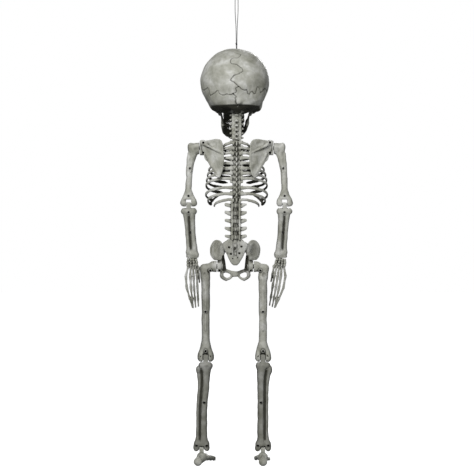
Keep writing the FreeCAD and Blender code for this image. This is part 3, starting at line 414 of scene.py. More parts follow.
def curve(points, count=8):
    """Points on a smooth curve through the given ones, count to each stretch."""
    p = np.array(points, float)
    p = np.vstack([2 * p[0] - p[1], p, 2 * p[-1] - p[-2]])
    steps = np.linspace(0, 1, count, endpoint=False)[:, None]
    made = []
    for a, b, c, d in zip(p, p[1:], p[2:], p[3:]):
        square, cube = 2 * a - 5 * b + 4 * c - d, 3 * b - a - 3 * c + d
        made.append(0.5 * (2 * b + (c - a) * steps + square * steps**2 + cube * steps**3))
    return np.vstack(made + [p[-2:-1]])


class Clay:
    """A distance field on a grid, negative inside."""

    def __init__(self, low, high, step=0.8):
        self.step = step
        low, high = np.array(low, float), np.array(high, float)
        count = np.ceil((high - low) / step).astype(int) + 1
        self.axes = [low[i] + step * np.arange(count[i]) for i in range(3)]
        self.d = np.full(count, FAR, np.float32)

    @classmethod
    def blank(cls, like, cuts):
        made = cls.__new__(cls)
        made.step = like.step
        made.axes = [axis[cut] for axis, cut in zip(like.axes, cuts)]
        made.d = np.full([len(a) for a in made.axes], FAR, np.float32)
        return made

    def window(self, low, high, reach):
        cuts = []
        for axis, a, b in zip(self.axes, low, high):
            first = int((a - reach - axis[0]) / self.step)
            last = int((b + reach - axis[0]) / self.step) + 2
            cuts.append(slice(min(max(first, 0), len(axis)), min(max(last, 0), len(axis))))
        return tuple(cuts), spread([axis[cut] for axis, cut in zip(self.axes, cuts)])

    def add(self, shape, soft=0.0):
        cuts, at = self.window(shape[0], shape[1], REACH + soft)
        if self.d[cuts].size:
            self.d[cuts] = smooth_min(self.d[cuts], shape[2](*at), soft)
        return self

    def cut(self, shape, soft=0.0):
        cuts, at = self.window(shape[0], shape[1], soft + 1)
        if self.d[cuts].size:
            self.d[cuts] = -smooth_min(-self.d[cuts], shape[2](*at), soft)
        return self

    def run(self, points, radii, soft=0.0, squeeze=None, count=6, away=False):
        """A bar along a smooth curve, whose radius follows radii. away cuts it out instead."""
        radii = np.atleast_1d(np.array(radii, float))
        if len(radii) == 1:
            radii = np.repeat(radii, len(points))
        path = np.hstack([np.array(points, float), radii[:, None]])
        if count > 1:
            path = curve(path, count)
        wide = radii.max() * (squeeze[1] if squeeze else 1)
        cuts, _ = self.window(path[:, :3].min(0) - wide, path[:, :3].max(0) + wide, REACH + soft)
        if not self.d[cuts].size:
            return self
        strand = Clay.blank(self, cuts)
        for a, b in zip(path, path[1:]):
            strand.add(rod(a[:3], b[:3], a[3], b[3], squeeze))
        sign = -1 if away else 1
        self.d[cuts] = sign * smooth_min(sign * self.d[cuts], strand.d, soft)
        return self

    def bar(self, a, b, ra, rb, soft=0.0):
        """A straight bar that may taper."""
        return self.run([a, b], [ra, rb], soft, None, 1)

    def lumps(self, size, height, seed):
        """Slight hand-made unevenness."""
        draw = np.random.default_rng(seed)
        total = 0
        for _ in range(7):
            wave = draw.normal(size=3) * 2 * pi / size / 1.7
            phase = draw.uniform(0, 2 * pi)
            x, y, z = spread([np.exp(1j * k * a).astype(np.complex64) for k, a in zip(wave, self.axes)])
            total = total + (x * y * z * np.exp(1j * phase)).imag
        self.d += (height / 3) * total.astype(np.float32)
        return self

    def at(self, p):
        """The distance at points, read between the grid's own."""
        q = [(p[:, i] - self.axes[i][0]) / self.step for i in range(3)]
        base = [np.clip(np.floor(v).astype(int), 0, n - 2) for v, n in zip(q, self.d.shape)]
        part = [np.clip(v - b, 0, 1) for v, b in zip(q, base)]
        total = 0
        for i in (0, 1):
            for j in (0, 1):
                for k in (0, 1):
                    weight = 1
                    for bit, share in zip((i, j, k), part):
                        weight = weight * (share if bit else 1 - share)
                    total = total + weight * self.d[base[0] + i, base[1] + j, base[2] + k]
        return total

    def normals(self, p):
        e = 0.6 * self.step
        slope = np.stack([self.at(p + e * d) - self.at(p - e * d) for d in np.eye(3)], 1)
        return slope / np.maximum(np.linalg.norm(slope, axis=1), 1e-6)[:, None]

    def skin(self, points, rounds=8):
        """Moves points onto the surface."""
        p = np.array(points, float)
        for _ in range(rounds):
            p = p - self.at(p)[:, None] * self.normals(p) * 0.9
        return p

    def half(self, axis, place, way, soft=0.5, gap=0.08):
        """What lies past a plane: way 1 keeps the high side."""
        made = Clay.blank(self, [slice(None)] * 3)
        wall = way * (place - spread(self.axes)[axis]) + gap
        made.d = -smooth_min(-self.d, -wall.astype(np.float32) + 0 * self.d, soft)
        return made


def mirror_box(s, low, high):
    """A box given on the left, for either side."""
    return (low, high) if s > 0 else ((-high[0], *low[1:]), (-low[0], *high[1:]))


def swing(axis, degrees, pivot):
    """A turn about a pivot, in millimetres."""
    turn = turned(axis, degrees)
    pivot = np.array(pivot, float)
    return turn, pivot - turn @ pivot


HEAD = swing("Z", HEAD_TURN, (0, NECK_Y, 0))
BENT = swing("X", -ELBOW_BEND, (0, 0, ELBOW_Z))
STILL = (np.eye(3), np.zeros(3))


def cast(clay, name, body, node=None, move=STILL, material=None, shade=None, depth=1):
    """A mesh of the field's surface, with two painted-light attributes: painted shade in the hollows, scaled
    by depth, and a painted highlight on thin edges. shade adds more painted shade by place and facing.
    """
    grid = openvdb.FloatGrid(FAR)
    grid.copyFromArray(clay.d.astype(np.float32))
    points, triangles, quads = grid.convertToPolygons(isovalue=0.0, adaptivity=0.0)
    low = np.array([axis[0] for axis in clay.axes])
    points = points.astype(float) * clay.step + low
    normals = clay.normals(points)
    # painted shade: points that lie deep in a hollow are darkened
    close, wide = (np.clip(1 - clay.at(points + normals * d) / d, 0, 1) for d in (1.5, 4.5))
    # painted highlight: thin edges are lightened
    edge_highlight = np.clip(1 + clay.at(points - normals * 1.6) / 1.6, 0, 1)
    shade_paint = depth * np.maximum(close, 0.75 * wide)
    if shade:
        shade_paint = np.maximum(shade_paint, shade(points, normals))
        edge_highlight = edge_highlight * (1 - shade_paint)
    faces = np.vstack([np.hstack([triangles, triangles[:, -1:]]), quads]) if len(triangles) else quads
    corner = [points[faces[:, i]] for i in range(3)]
    facing = np.einsum(
        "ij,ij->i", np.cross(corner[1] - corner[0], corner[2] - corner[0]), normals[faces[:, 0]],
    )
    if np.sum(facing) < 0:
        triangles, quads = triangles[:, ::-1], quads[:, ::-1]
    turn, shift = move
    points = (points @ turn.T + shift) * MM
    mesh = bpy.data.meshes.new(name)
    mesh.vertices.add(len(points))
    mesh.vertices.foreach_set("co", points.astype(np.float32).ravel())
    corners = np.concatenate([triangles.ravel(), quads.ravel()]).astype(np.int32)
    mesh.loops.add(len(corners))
    mesh.loops.foreach_set("vertex_index", corners)
    starts = np.concatenate([3 * np.arange(len(triangles)), 3 * len(triangles) + 4 * np.arange(len(quads))])
    mesh.polygons.add(len(starts))
    mesh.polygons.foreach_set("loop_start", starts.astype(np.int32))
    mesh.update(calc_edges=True)
    mesh.validate()
    mesh.polygons.foreach_set("use_smooth", np.ones(len(mesh.polygons), bool))
    for word, numbers in (("shade_paint", shade_paint), ("edge", edge_highlight)):
        mesh.attributes.new(word, "FLOAT", "POINT").data.foreach_set("value", numbers.astype(np.float32))
    mesh.materials.append(material or BONE)
    piece = bpy.data.objects.new(name, mesh)
    bpy.context.scene.collection.objects.link(piece)
    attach(piece, body)
    if node:
        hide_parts(node)
    return piece


def screw_spots(node):
    """Each screw's x and z, and the level that its head sits on, read from the CAD node."""
    co = np.array([v.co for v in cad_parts[node].data.vertices]) / MM
    found = []
    while len(co):
        x, _, z = co[np.argmax(co[:, 1])]
        near = np.hypot(co[:, 0] - x, co[:, 2] - z) < 5.5
        mine, co = co[near], co[~near]
        middle = (mine.min(0) + mine.max(0)) / 2
        found.append((middle[0], mine[:, 1].max() - 1.6, middle[2]))
    return found


def wells(clay, node, back=None, ring=0.0):
    """Cuts the screws' wells; where ring is given, each gets a slightly raised ring round it."""
    for x, y, z in screw_spots(node):
        if back is not None:
            (x, y, z) = (np.array((x, y, z)) - back[1]) @ back[0]
        if ring:
            clay.add(rod((x, y, z), (x, y + 5.4, z), ring), 1.0)
        clay.cut(rod((x, y + 2.4, z), (x, y + 30, z), 2.35), 0.4)


# ---------------------------------------------------------------- skull and jaw

SKULL_X = 3  # the braincase hangs a little to its left of the cord
BRAINCASE = (SKULL_X, 10, -183), (75, 74, 72)


def wander(path, size, seed, count=5):
    """A suture's line: a smooth path with small regular crinkles."""
    p = curve(path, count)
    draw = np.random.default_rng(seed)
    p[1:-1] += draw.normal(0, size, (len(p) - 2, p.shape[1]))
    return p


def skull():
    c = Clay((-84, -104, -276), (90, 92, -104), 1.05)
    x0 = SKULL_X
    c.add(ball(*BRAINCASE))
    c.add(ball((x0, -24, -184), (64, 60, 66)), 22)
    c.add(ball((x0 * 0.6, 33, -215), (61, 40, 38)), 10)
    c.add(ball((0, -14, -222), (42, 56, 22)), 10)
    for s in SIDES.values():
        c.cut(ball((x0 + s * 84, -46, -204), (21, 36, 28)), 14)
        c.add(ball((s * 46, 6, -233), (11, 14, 15)), 9)
        c.add(ball((s * 35, -8, -243), (10, 16, 9)), 7)
        c.cut(rod((s * 37, 26, -247), (s * 38, 0, -250), 2.6), 3)
        c.run([(s * 14, -79, -188), (s * 26, -78, -186), (s * 38, -68, -192)], [4.5, 5, 4], 6)
        c.run(
            [(s * 20, -80, -236), (s * 31, -78, -226), (s * 42, -66, -217), (s * 45, -54, -205)],
            [6, 7, 6, 4], 6,
        )
        c.run(
            [(s * 43, -62, -216), (s * 52.5, -38, -219.5), (s * 52.5, -14, -220), (s * 47, 2, -221)],
            [3.6, 2.8, 2.8, 4], 3, ((0, 0, 1), 1.5),
        )
        c.run([(s * 39, -66, -200), (s * 44, -62, -212)], [3.4, 4], 3)
        c.run([(s * 47, -24, -226), (s * 47.5, -12, -226)], [5.5, 5.5], 3)
    c.add(ball((0, -64, -236), (27, 27, 19)), 8)
    c.add(ball((0, -70, -252), (24, 24, 13)), 5)
    c.run([(0, -83, -189), (0, -87, -202), (0, -91, -212)], [6, 4.2, 3.2], 5)
    for s in SIDES.values():
        c.cut(ball((s * 20.5, -92, -203.5), (15.5, 27, 13.5), turned("Y", 10 * s)), 4)
        c.cut(ball((s * 19, -70, -204.5), (11.5, 22, 10.5)), 4)
        c.cut(ball((s * 24, -96, -222), (1.4, 8, 1.4)), 0.6)
    c.cut(ball((0, -98, -228.5), (8.2, 18, 11.5)), 2.5)
    c.cut(ball((0, -91, -219), (4.6, 12, 7)), 2)
    c.add(rod((0, -82, -214), (0, -84, -240), 0.9, 1.2), 1.5)
    c.cut(ball((0, -62, -268), (17, 24, 14)), 5)
    # the underside: the neck's boss, the nuchal lines and the hollows beside them
    c.add(rod((0, NECK_Y, -242), (0, NECK_Y, -232), 13.5, 15), 5)
    for s in SIDES.values():
        c.cut(ball((s * 24, 36, -252), (15, 20, 11)), 8)
        c.cut(ball((s * 25, -22, -246), (12, 22, 12)), 8)
        c.run([(0, 66, -234), (s * 22, 62, -235), (s * 42, 42, -236)], [1.6, 1.8, 1.4], 5)
    c.add(ball((-1, 70.5, -232), (5, 4, 4)), 6)
    c.lumps(34, 0.5, 3)
    sutures(c)
    tooth_row(c, -260.5, -0.5, 22, 26, -66, 1)
    c.cut(rod((0, 0, -100), (0, 0, -126), 2.3), 0.6)
    c.cut(rod((0, NECK_Y, -252), (0, NECK_Y, -222), 6.3), 0.4)
    cast(c.half(1, -5, 1), "skull_rear", "skull", "skull_rear_shell", HEAD, shade=under_skull)
    cast(c.half(1, -5, -1), "skull_face", "skull", "skull_face_shell", HEAD, shade=behind_face)


def rise(value, low, high):
    """0 below low, 1 above high, and a smooth step between."""
    t = np.clip((value - low) / (high - low), 0, 1)
    return t * t * (3 - 2 * t)


# Painted shade on the skull's underside, below the level of its base.
def under_skull(p, n):
    return 0.85 * rise(-n[:, 2], 0.35, 0.8) * rise(-p[:, 2], 234, 241)


# Painted shade under and behind the face, in the eye sockets and in the nose.
def behind_face(p, n):
    low = rise(-p[:, 2], 232, 240)
    under = low * np.maximum(rise(n[:, 1], 0.0, 0.5), rise(-n[:, 2], 0.3, 0.8))
    mirrored = np.stack([np.abs(p[:, 0]), p[:, 1], p[:, 2]], 1)
    socket = np.linalg.norm((mirrored - (19.5, -62, -204.5)) / (1, 1.6, 1), axis=1)
    nose = np.linalg.norm((p - (0, -66, -227)) / (1, 2, 1.2), axis=1)
    return 0.85 * np.maximum(under, 1 - rise(np.minimum(socket, nose + 5), 10, 15))


# Painted shade on the jaw's inner faces.
def inside_jaw(p, n):
    away = np.stack([p[:, 0], (p[:, 1] + 50) * 0.9], 1)
    away /= np.maximum(np.linalg.norm(away, axis=1), 1)[:, None]
    return 0.9 * rise(-np.sum(away * n[:, :2], 1), -0.1, 0.45)


def sutures(c):
    """The crinkled lines between the skull's plates, cut along its skin."""
    sagittal = [(3, -124), (-6, -129), (1, -137), (13, -139), (17, -145), (14, -151), (4, -152), (-8, -162)]
    sagittal += [(-8, -168), (2, -174), (10, -177), (18, -187), (10, -191), (0, -200)]
    right = [
        (0, -200), (-12, -208), (-18, -207), (-21, -215), (-29, -210), (-35, -214), (-40, -206),
        (-43, -199),
    ]
    right += [(-47, -204), (-48, -211), (-53, -206), (-60, -201), (-66, -205)]
    middle = [(0, -200), (6, -204), (4, -211), (12, -215)]
    left = [(12, -215), (21, -217), (37, -216), (43, -208), (49, -212), (57, -215), (64, -201), (72, -204)]
    nape = [(12, -215), (5, -221), (7, -225), (0, -230), (-1, -234), (1, -238)]
    (mid_x, mid_y, mid_z), (half_x, half_y, half_z) = BRAINCASE
    lines = ((sagittal, 0.35), (right, 0.6), (middle, 0.3), (left, 0.6), (nape, 0.4))
    for seed, (path, size) in enumerate(lines):
        x, z = wander(path, size, seed, 4).T
        bulge = np.sqrt(np.clip(1 - ((x - mid_x) / half_x) ** 2 - ((z - mid_z) / half_z) ** 2, 0.01, 1))
        groove(c, np.stack([x, mid_y + half_y * bulge, z], 1))
    top = [(3 + 2 * sin(0.7 * i), -12 - 5 * i, -112) for i in range(4)]
    groove(c, wander([(3, 8, -112)] + top, 0.8, 9))
    for s in SIDES.values():
        crown = []
        for a in range(0, 86, 12):
            x, z = mid_x + s * 68 * sin(radians(a)), mid_z + 68 * cos(radians(a))
            crown.append((x, -30 - 0.12 * a, z))
        groove(c, wander(crown, 0.9, 11 + s, 7))
        flank = [(s * 76, -34 + 13 * i, -206 + 12 * sin(pi * i / 5)) for i in range(6)]
        groove(c, wander(flank, 0.8, 15 + s, 5))


def groove(c, points, radius=0.8):
    path = c.skin(points)
    for a, b in zip(path, path[1:]):
        if np.linalg.norm(b - a) < 12:
            c.cut(rod(a, b, radius), 0.5)


def tooth_row(c, level, lean, wide, deep, middle, way):
    """Fourteen teeth round an arch; way is 1 for the upper row."""
    for i in range(14):
        a = pi * (i + 0.5) / 14
        x, y = wide * cos(a), middle - deep * sin(a)
        broad = 1.9 + 0.7 * abs(cos(a))
        c.add(ball((x, y + lean, level - way * 2.5), (broad, 2.1 + 0.5 * abs(cos(a)), 4.6)), 0.5)
        c.add(rod((x, y + 1, level + way * 2), (x * 0.97, y + 2, level + way * 8), 1.7, 1.0), 1.6)


def jaw():
    c = Clay((-50, -102, -306), (50, -4, -220), 0.75)
    for s in SIDES.values():
        branch = [(s * 39.5, -18, -229), (s * 36.2, -20, -240), (s * 31, -24, -255), (s * 27.5, -30, -269)]
        c.run(branch, [3.2, 2.7, 2.7, 3.2], 0, ((0, 1, 0), 2.6))
        c.add(rod((s * 36.5, -18, -228), (s * 42.5, -18, -228), 4.6), 1.5)
        c.run(
            [(s * 34, -30, -252), (s * 37, -33, -240), (s * 39, -34, -232)], [3.4, 2.6, 1.5], 3,
            ((0, 1, 0), 1.7),
        )
        body = [
            (s * 27, -32, -270), (s * 25, -52, -280), (s * 19, -74, -287), (s * 9, -87, -290),
            (0, -90, -290.5),
        ]
        c.run(body, [4.2, 4.0, 4.2, 4.6, 4.8], 2, ((0, 0, 1), 2.0))
        c.cut(ball((s * 35, -22, -262), (3, 12, 9)), 4)
        c.cut(ball((s * 15, -88, -289), (1.2, 6, 1.2)), 0.5)
    c.add(ball((0, -91, -297), (11, 5, 6)), 4)
    c.lumps(22, 0.35, 5)
    tooth_row(c, -274, 0.5, 20, 25, -65, -1)
    for s in SIDES.values():
        c.cut(rod((s * 30, -18, -228), (s * 50, -18, -228), 1.6), 0.2)
    cast(c, "jaw_bone", "jaw", "jaw", HEAD, shade=inside_jaw)


# ---------------------------------------------------------------- spine, ribs and shoulders


def neck():
    c = Clay((-18, 2, -314), (18, 40, -248), 0.7)
    c.bar((0, 17, -318), (0, 17, -252), 7, 7.5)
    c.bar((0, 25, -318), (0, 25.5, -252), 5.6, 6.4, 1)
    for i in range(6):
        level = -257 - 9.9 * i
        c.add(rod((0, 16.5, level - 3.4), (0, 16.5, level + 3.4), 8.6), 2)
        c.add(ball((0, 24.5, level), (9, 6, 4.4)), 2)
        tip = 3.2 if i else 0
        c.run([(0, 28, level), (0, 32, level - 1.5), (0, 34.2, level - tip)], [3.2, 2.5, 2.6], 2.2)
        for s in SIDES.values():
            c.run([(s * 6, 20, level + 1), (s * 13, 21, level - 0.5)], [3.0, 2.4], 2)
            c.run([(s * 7.4, 24.5, level - 3.6), (s * 7.4, 24.5, level + 3.6)], [3.1, 3.1], 2)
            c.add(ball((s * 2, 35, level - tip - 0.8), (1.7, 1.6, 2.2)), 1)
            c.cut(ball((s * 10, 18, level + 4.95), (5, 6, 1.2)), 1)
        c.cut(slab((-20, 2, level - 5.3), (20, 20, level - 4.7), 0.3), 0.6)
    c.lumps(11, 0.22, 7)
    c.cut(rod((0, NECK_Y, -276), (0, NECK_Y, -240), 6.1), 0.2)
    cast(c.half(2, -250.6, -1).half(2, -311.1, 1), "neck_bones", "trunk", "neck_vertebrae", depth=0.8)


RIBS = 11
CHEST_TOP = -317
CHEST_PITCH = 11


def rib_plan(i):
    """Half width, half depth and rear level of a rib, counted from the top."""
    down = i / (RIBS - 1)
    wide = 68 * (1 - 0.55 * (1 - down) ** 3.2) * (1 - 0.28 * max(0, (down - 0.8) / 0.2) ** 2)
    level = CHEST_TOP - CHEST_PITCH * i - (max(i, 7) - 7) * 2.4 - (7 if i > 7 else 0)
    return wide, 15.4 + 0.42 * wide, level


def rib_points(i, s, way, reach, count=12):
    """Points along half a rib from its side, to the rear (way 1) or to the front."""
    wide, deep, level = rib_plan(i)
    small = 0.8 * deep
    side_x = wide - small
    large = (side_x**2 + deep**2 - small**2) / (2 * (deep - small))
    corner = pi / 2 - atan2(side_x, large - deep)
    tilt = radians(22)
    made = []
    for a in np.linspace(0, reach * pi / 2, count):
        if a <= corner:
            x, y = side_x + small * cos(a), way * small * sin(a)
        else:
            x, y = large * cos(a), way * (large * sin(a) + deep - large)
        rear, drop = 30 - deep * cos(tilt) + y * cos(tilt), level - deep * sin(tilt) + y * sin(tilt)
        made.append((s * x, rear, drop))
    return np.array(made)


TALL = ((0, 0, 1), 1.55)


def chest():
    c = Clay((-76, -32, -470), (76, 42, -305), 0.85)
    c.bar((0, 16.5, -438), (0, 16.5, -319), 8, 8)
    for i in range(RIBS + 1):
        level = CHEST_TOP - CHEST_PITCH * i
        c.add(rod((0, 16.5, level - 2.6), (0, 16.5, level + 2.6), 9.3), 1.5)
        c.add(ball((0, 25.5, level), (7.5, 4.6, 4.2)), 1.5)
        c.run([(0, 28, level + 2), (0, 34, level - 2.5), (0, 35.8, level - 6.2)], [2.3, 1.9, 1.8], 1.5)
        for s in SIDES.values():
            if i >= RIBS:
                continue
            c.run([(s * 5, 24.5, level + 0.5), (s * 11.5, 28.5, level + 1.8)], [2.7, 2.5], 1.6)
            c.add(ball((s * 11.8, 29, level + 2), (2.6, 2.2, 2.4)), 1)
            c.run([(s * 5.8, 27.5, level - 4.5), (s * 5.6, 27, level + 4.5)], [1.7, 1.7], 1)
            path = rib_points(i, s, 1, 0.93 if i else 0.88, 14)
            path[-3:, 2] += np.array((0.3, -0.4, -2.2))
            c.run(path, np.interp(np.arange(14), [0, 9, 12, 13], [1.9, 2.0, 2.2, 2.6]), 1.0, TALL, 2)
            c.run(path[2:11] + (0, 0, -2.3), 0.75, 0.8, None, 1)
    c.lumps(13, 0.25, 21)
    cast(c, "chest_rear", "trunk", "rib_cage_rear", shade=inside_chest, depth=0.85)
    f = Clay((-76, -44, -470), (76, 22, -322), 0.85)
    ends = []
    for i in range(RIBS - 1):
        reach = 0.97 if i < 7 else 1.0 - 0.2 * (i - 6)
        for s in SIDES.values():
            path = rib_points(i, s, -1, reach, 14)
            f.run(path, np.interp(np.arange(14), [0, 8, 9.5, 13], [1.9, 1.9, 2.4, 2.2]), 1.0, TALL, 2)
            f.add(ball(path[9], (2.6, 2.6, 3.4)), 1)
            if i > 5:
                ends.append((s, path[-1]))
    for s in SIDES.values():
        margin = [p for side, p in ends if side == s]
        f.run(margin, [2.4] * len(margin), 2)
    breast = [rib_points(i, 1, -1, 1.0)[-1] * (0, 1, 1) for i in range(7)]
    flat = ((1, 0, 0), 2.2)
    f.run([breast[0] + (0, 1, 6), breast[0], breast[1] + (0, 0, 2)], [3.4, 3.6, 2.6], 1.5, flat, 3)
    f.run(breast[1:6], [2.7, 2.5, 2.7, 2.9, 2.7], 1.5, flat, 3)
    f.run([breast[5], breast[6], breast[6] + (0, 1, -9)], [2.6, 1.9, 1.2], 1.5, ((1, 0, 0), 1.7), 3)
    for i in range(1, 6):
        f.cut(slab(breast[i] - (14, 8, 0.35 - 4.6), breast[i] + (14, -1.6, 0.35 + 4.6), 0.2), 0.6)
    f.lumps(13, 0.25, 22)
    cast(f, "chest_front", "trunk", "rib_cage_front", shade=inside_chest)
    return breast[0]


def inside_chest(p, n):
    """Painted shade: the cage's inner faces are darkened."""
    away = np.stack([p[:, 0] * 0.6, p[:, 1] - 4], 1)
    away /= np.maximum(np.linalg.norm(away, axis=1), 1)[:, None]
    return 0.95 * rise(-np.sum(away * n[:, :2], 1), -0.25, 0.3) * rise(-p[:, 1], -23, -14)


BLADE_TILT = radians(33)


def shoulder(side, breast):
    s = SIDES[side]
    c = Clay(*mirror_box(s, (22, -48, -400), (84, 48, -306)), 0.75)
    lean = cos(BLADE_TILT)
    corners = [
        (29.5, -338), (31.5, -321), (37, -312.5), (48, -311.5), (60, -313), (72, -314.5), (74, -330),
        (70, -345), (67, -354), (62, -358),
    ]
    corners += [
        (58, -365), (53, -372), (48, -382), (43, -391), (38.5, -393), (34, -386), (30.5, -370),
        (29, -352),
    ]
    flat = [((x - 22) / lean, z) for x, z in corners]
    across = (s * lean, -sin(BLADE_TILT), 0)

    def on_blade(x, z, proud=0.0):
        rear = 46 - (x - 22) * sin(BLADE_TILT) / lean + proud * lean
        return np.array((s * (x + proud * sin(BLADE_TILT)), rear, z))

    c.add(plate(flat, (s * 22, 46, 0), across, (0, 0, 1), 0.9, 0.9))
    border = [on_blade(x, z) for x, z in corners]
    c.run(border[7:] + border[:1], 1.6, 1.5, None, 2)
    c.run(border[:6], 1.5, 1.2, None, 2)
    c.run([on_blade(64, -343, 1), on_blade(54, -364, 0.8), on_blade(41, -386, 0.3)], [3.4, 2.4, 1.5], 3)
    ridge = [
        on_blade(31, -341, 0.5), on_blade(38, -337, 1.8), on_blade(50, -330, 3.6),
        on_blade(62, -323, 5), (s * 74, 10, -317),
    ]
    c.run(ridge, [1.4, 1.9, 2.4, 3.0, 4.6], 3)
    c.add(slab((s * 62, -10.6, -343.5), (s * 86, 10.6, -312.5), 4), 5)
    c.add(ball((s * 72, 6, -318), (9, 7, 5.5)), 4)
    c.add(ball((s * 61, 12, -345), (7, 6, 8)), 4)
    c.cut(ball(on_blade(52, -352, 9.6), (14, 8.6, 19), turned("Z", -s * 33)), 3)
    c.cut(ball(on_blade(50, -321, 8.2), (14, 7.2, 7), turned("Z", -s * 33)), 2.5)
    c.lumps(17, 0.4, 31)
    c.cut(slab((s * 80.95, -20, -360), (s * 92, 20, -300)), 0.4)
    wells(c, f"shoulder_screws_{side}")
    cast(c.half(1, 0, 1), f"shoulder_blade_bone_{side}", "trunk", f"shoulder_blade_{side}")
    f = Clay(*mirror_box(s, (4, -46, -350), (84, 10, -296)), 0.75)
    f.add(slab((s * 63, -10.6, -343.5), (s * 86, 10.6, -312.5), 4))
    near, far = breast + (s * 12, -3, 8), np.array((s * 70, -8, SHOULDER_Z + 8))
    bend = breast + (s * 42, -6, 16)
    f.run(
        [near, breast + (s * 25, -6, 11.5), bend, bend * 0.5 + far * 0.5 + (0, 1.5, 1), far],
        [4.2, 3.2, 2.9, 3.0, 4.4], 3,
    )
    f.lumps(15, 0.3, 33)
    f.cut(slab((s * 80.95, -20, -360), (s * 92, 20, -300)), 0.4)
    cast(f.half(1, 0, -1), f"collar_bone_shape_{side}", "trunk", f"collar_bone_{side}")


def lumbar():
    x = 0.6 * PELVIS_SWAY
    c = Clay((-30, 2, -534), (34, 42, -440), 0.75)
    c.bar((x * 0.4, 16.5, -446.8), (x, 16.5, -529), 9.6, 10.4)
    for i in range(5):
        level = -454 - 17.2 * i
        for drop in (-6.4, 6.4):
            c.add(rod((x, 16.5, level + drop - 0.8), (x, 16.5, level + drop + 0.8), 11.4), 2)
        c.add(ball((x, 27, level - 1), (9.5, 5.5, 6)), 2)
        c.run([(x, 30, level + 1.5), (x, 36, level - 1.5)], [2.2, 2.0], 1.6, ((0, 0, 1), 2.4))
        for s in SIDES.values():
            wing = [
                (x + s * 8, 25, level - 1.6), (x + s * 15, 26.5, level - 0.4),
                (x + s * 22.5, 27, level + 1.4),
            ]
            c.run(wing, [3.0, 2.6, 1.9], 2, ((0, 0, 1), 1.75))
            c.run(
                [
                    (x + s * 8, 29.5, level - 8.5), (x + s * 7.5, 30.5, level),
                    (x + s * 8.5, 29.5, level + 8),
                ],
                [2.2, 2.6, 2.8], 1.6,
            )
            c.add(ball((x + s * 8.8, 31.5, level + 6.5), (3, 3, 3.6)), 1)
            c.cut(ball((x + s * 4.4, 37.6, level - 3), (1.7, 5.4, 7)), 1.4)
        c.cut(slab((x - 20, 0, level - 9.1), (x + 20, 24, level - 8.1), 0.4), 0.8)
    c.lumps(14, 0.35, 41)
    cast(c.half(2, -530.6, 1).half(2, -446.1, -1), "loin_bones", "trunk", "lumbar_vertebrae", depth=0.85)


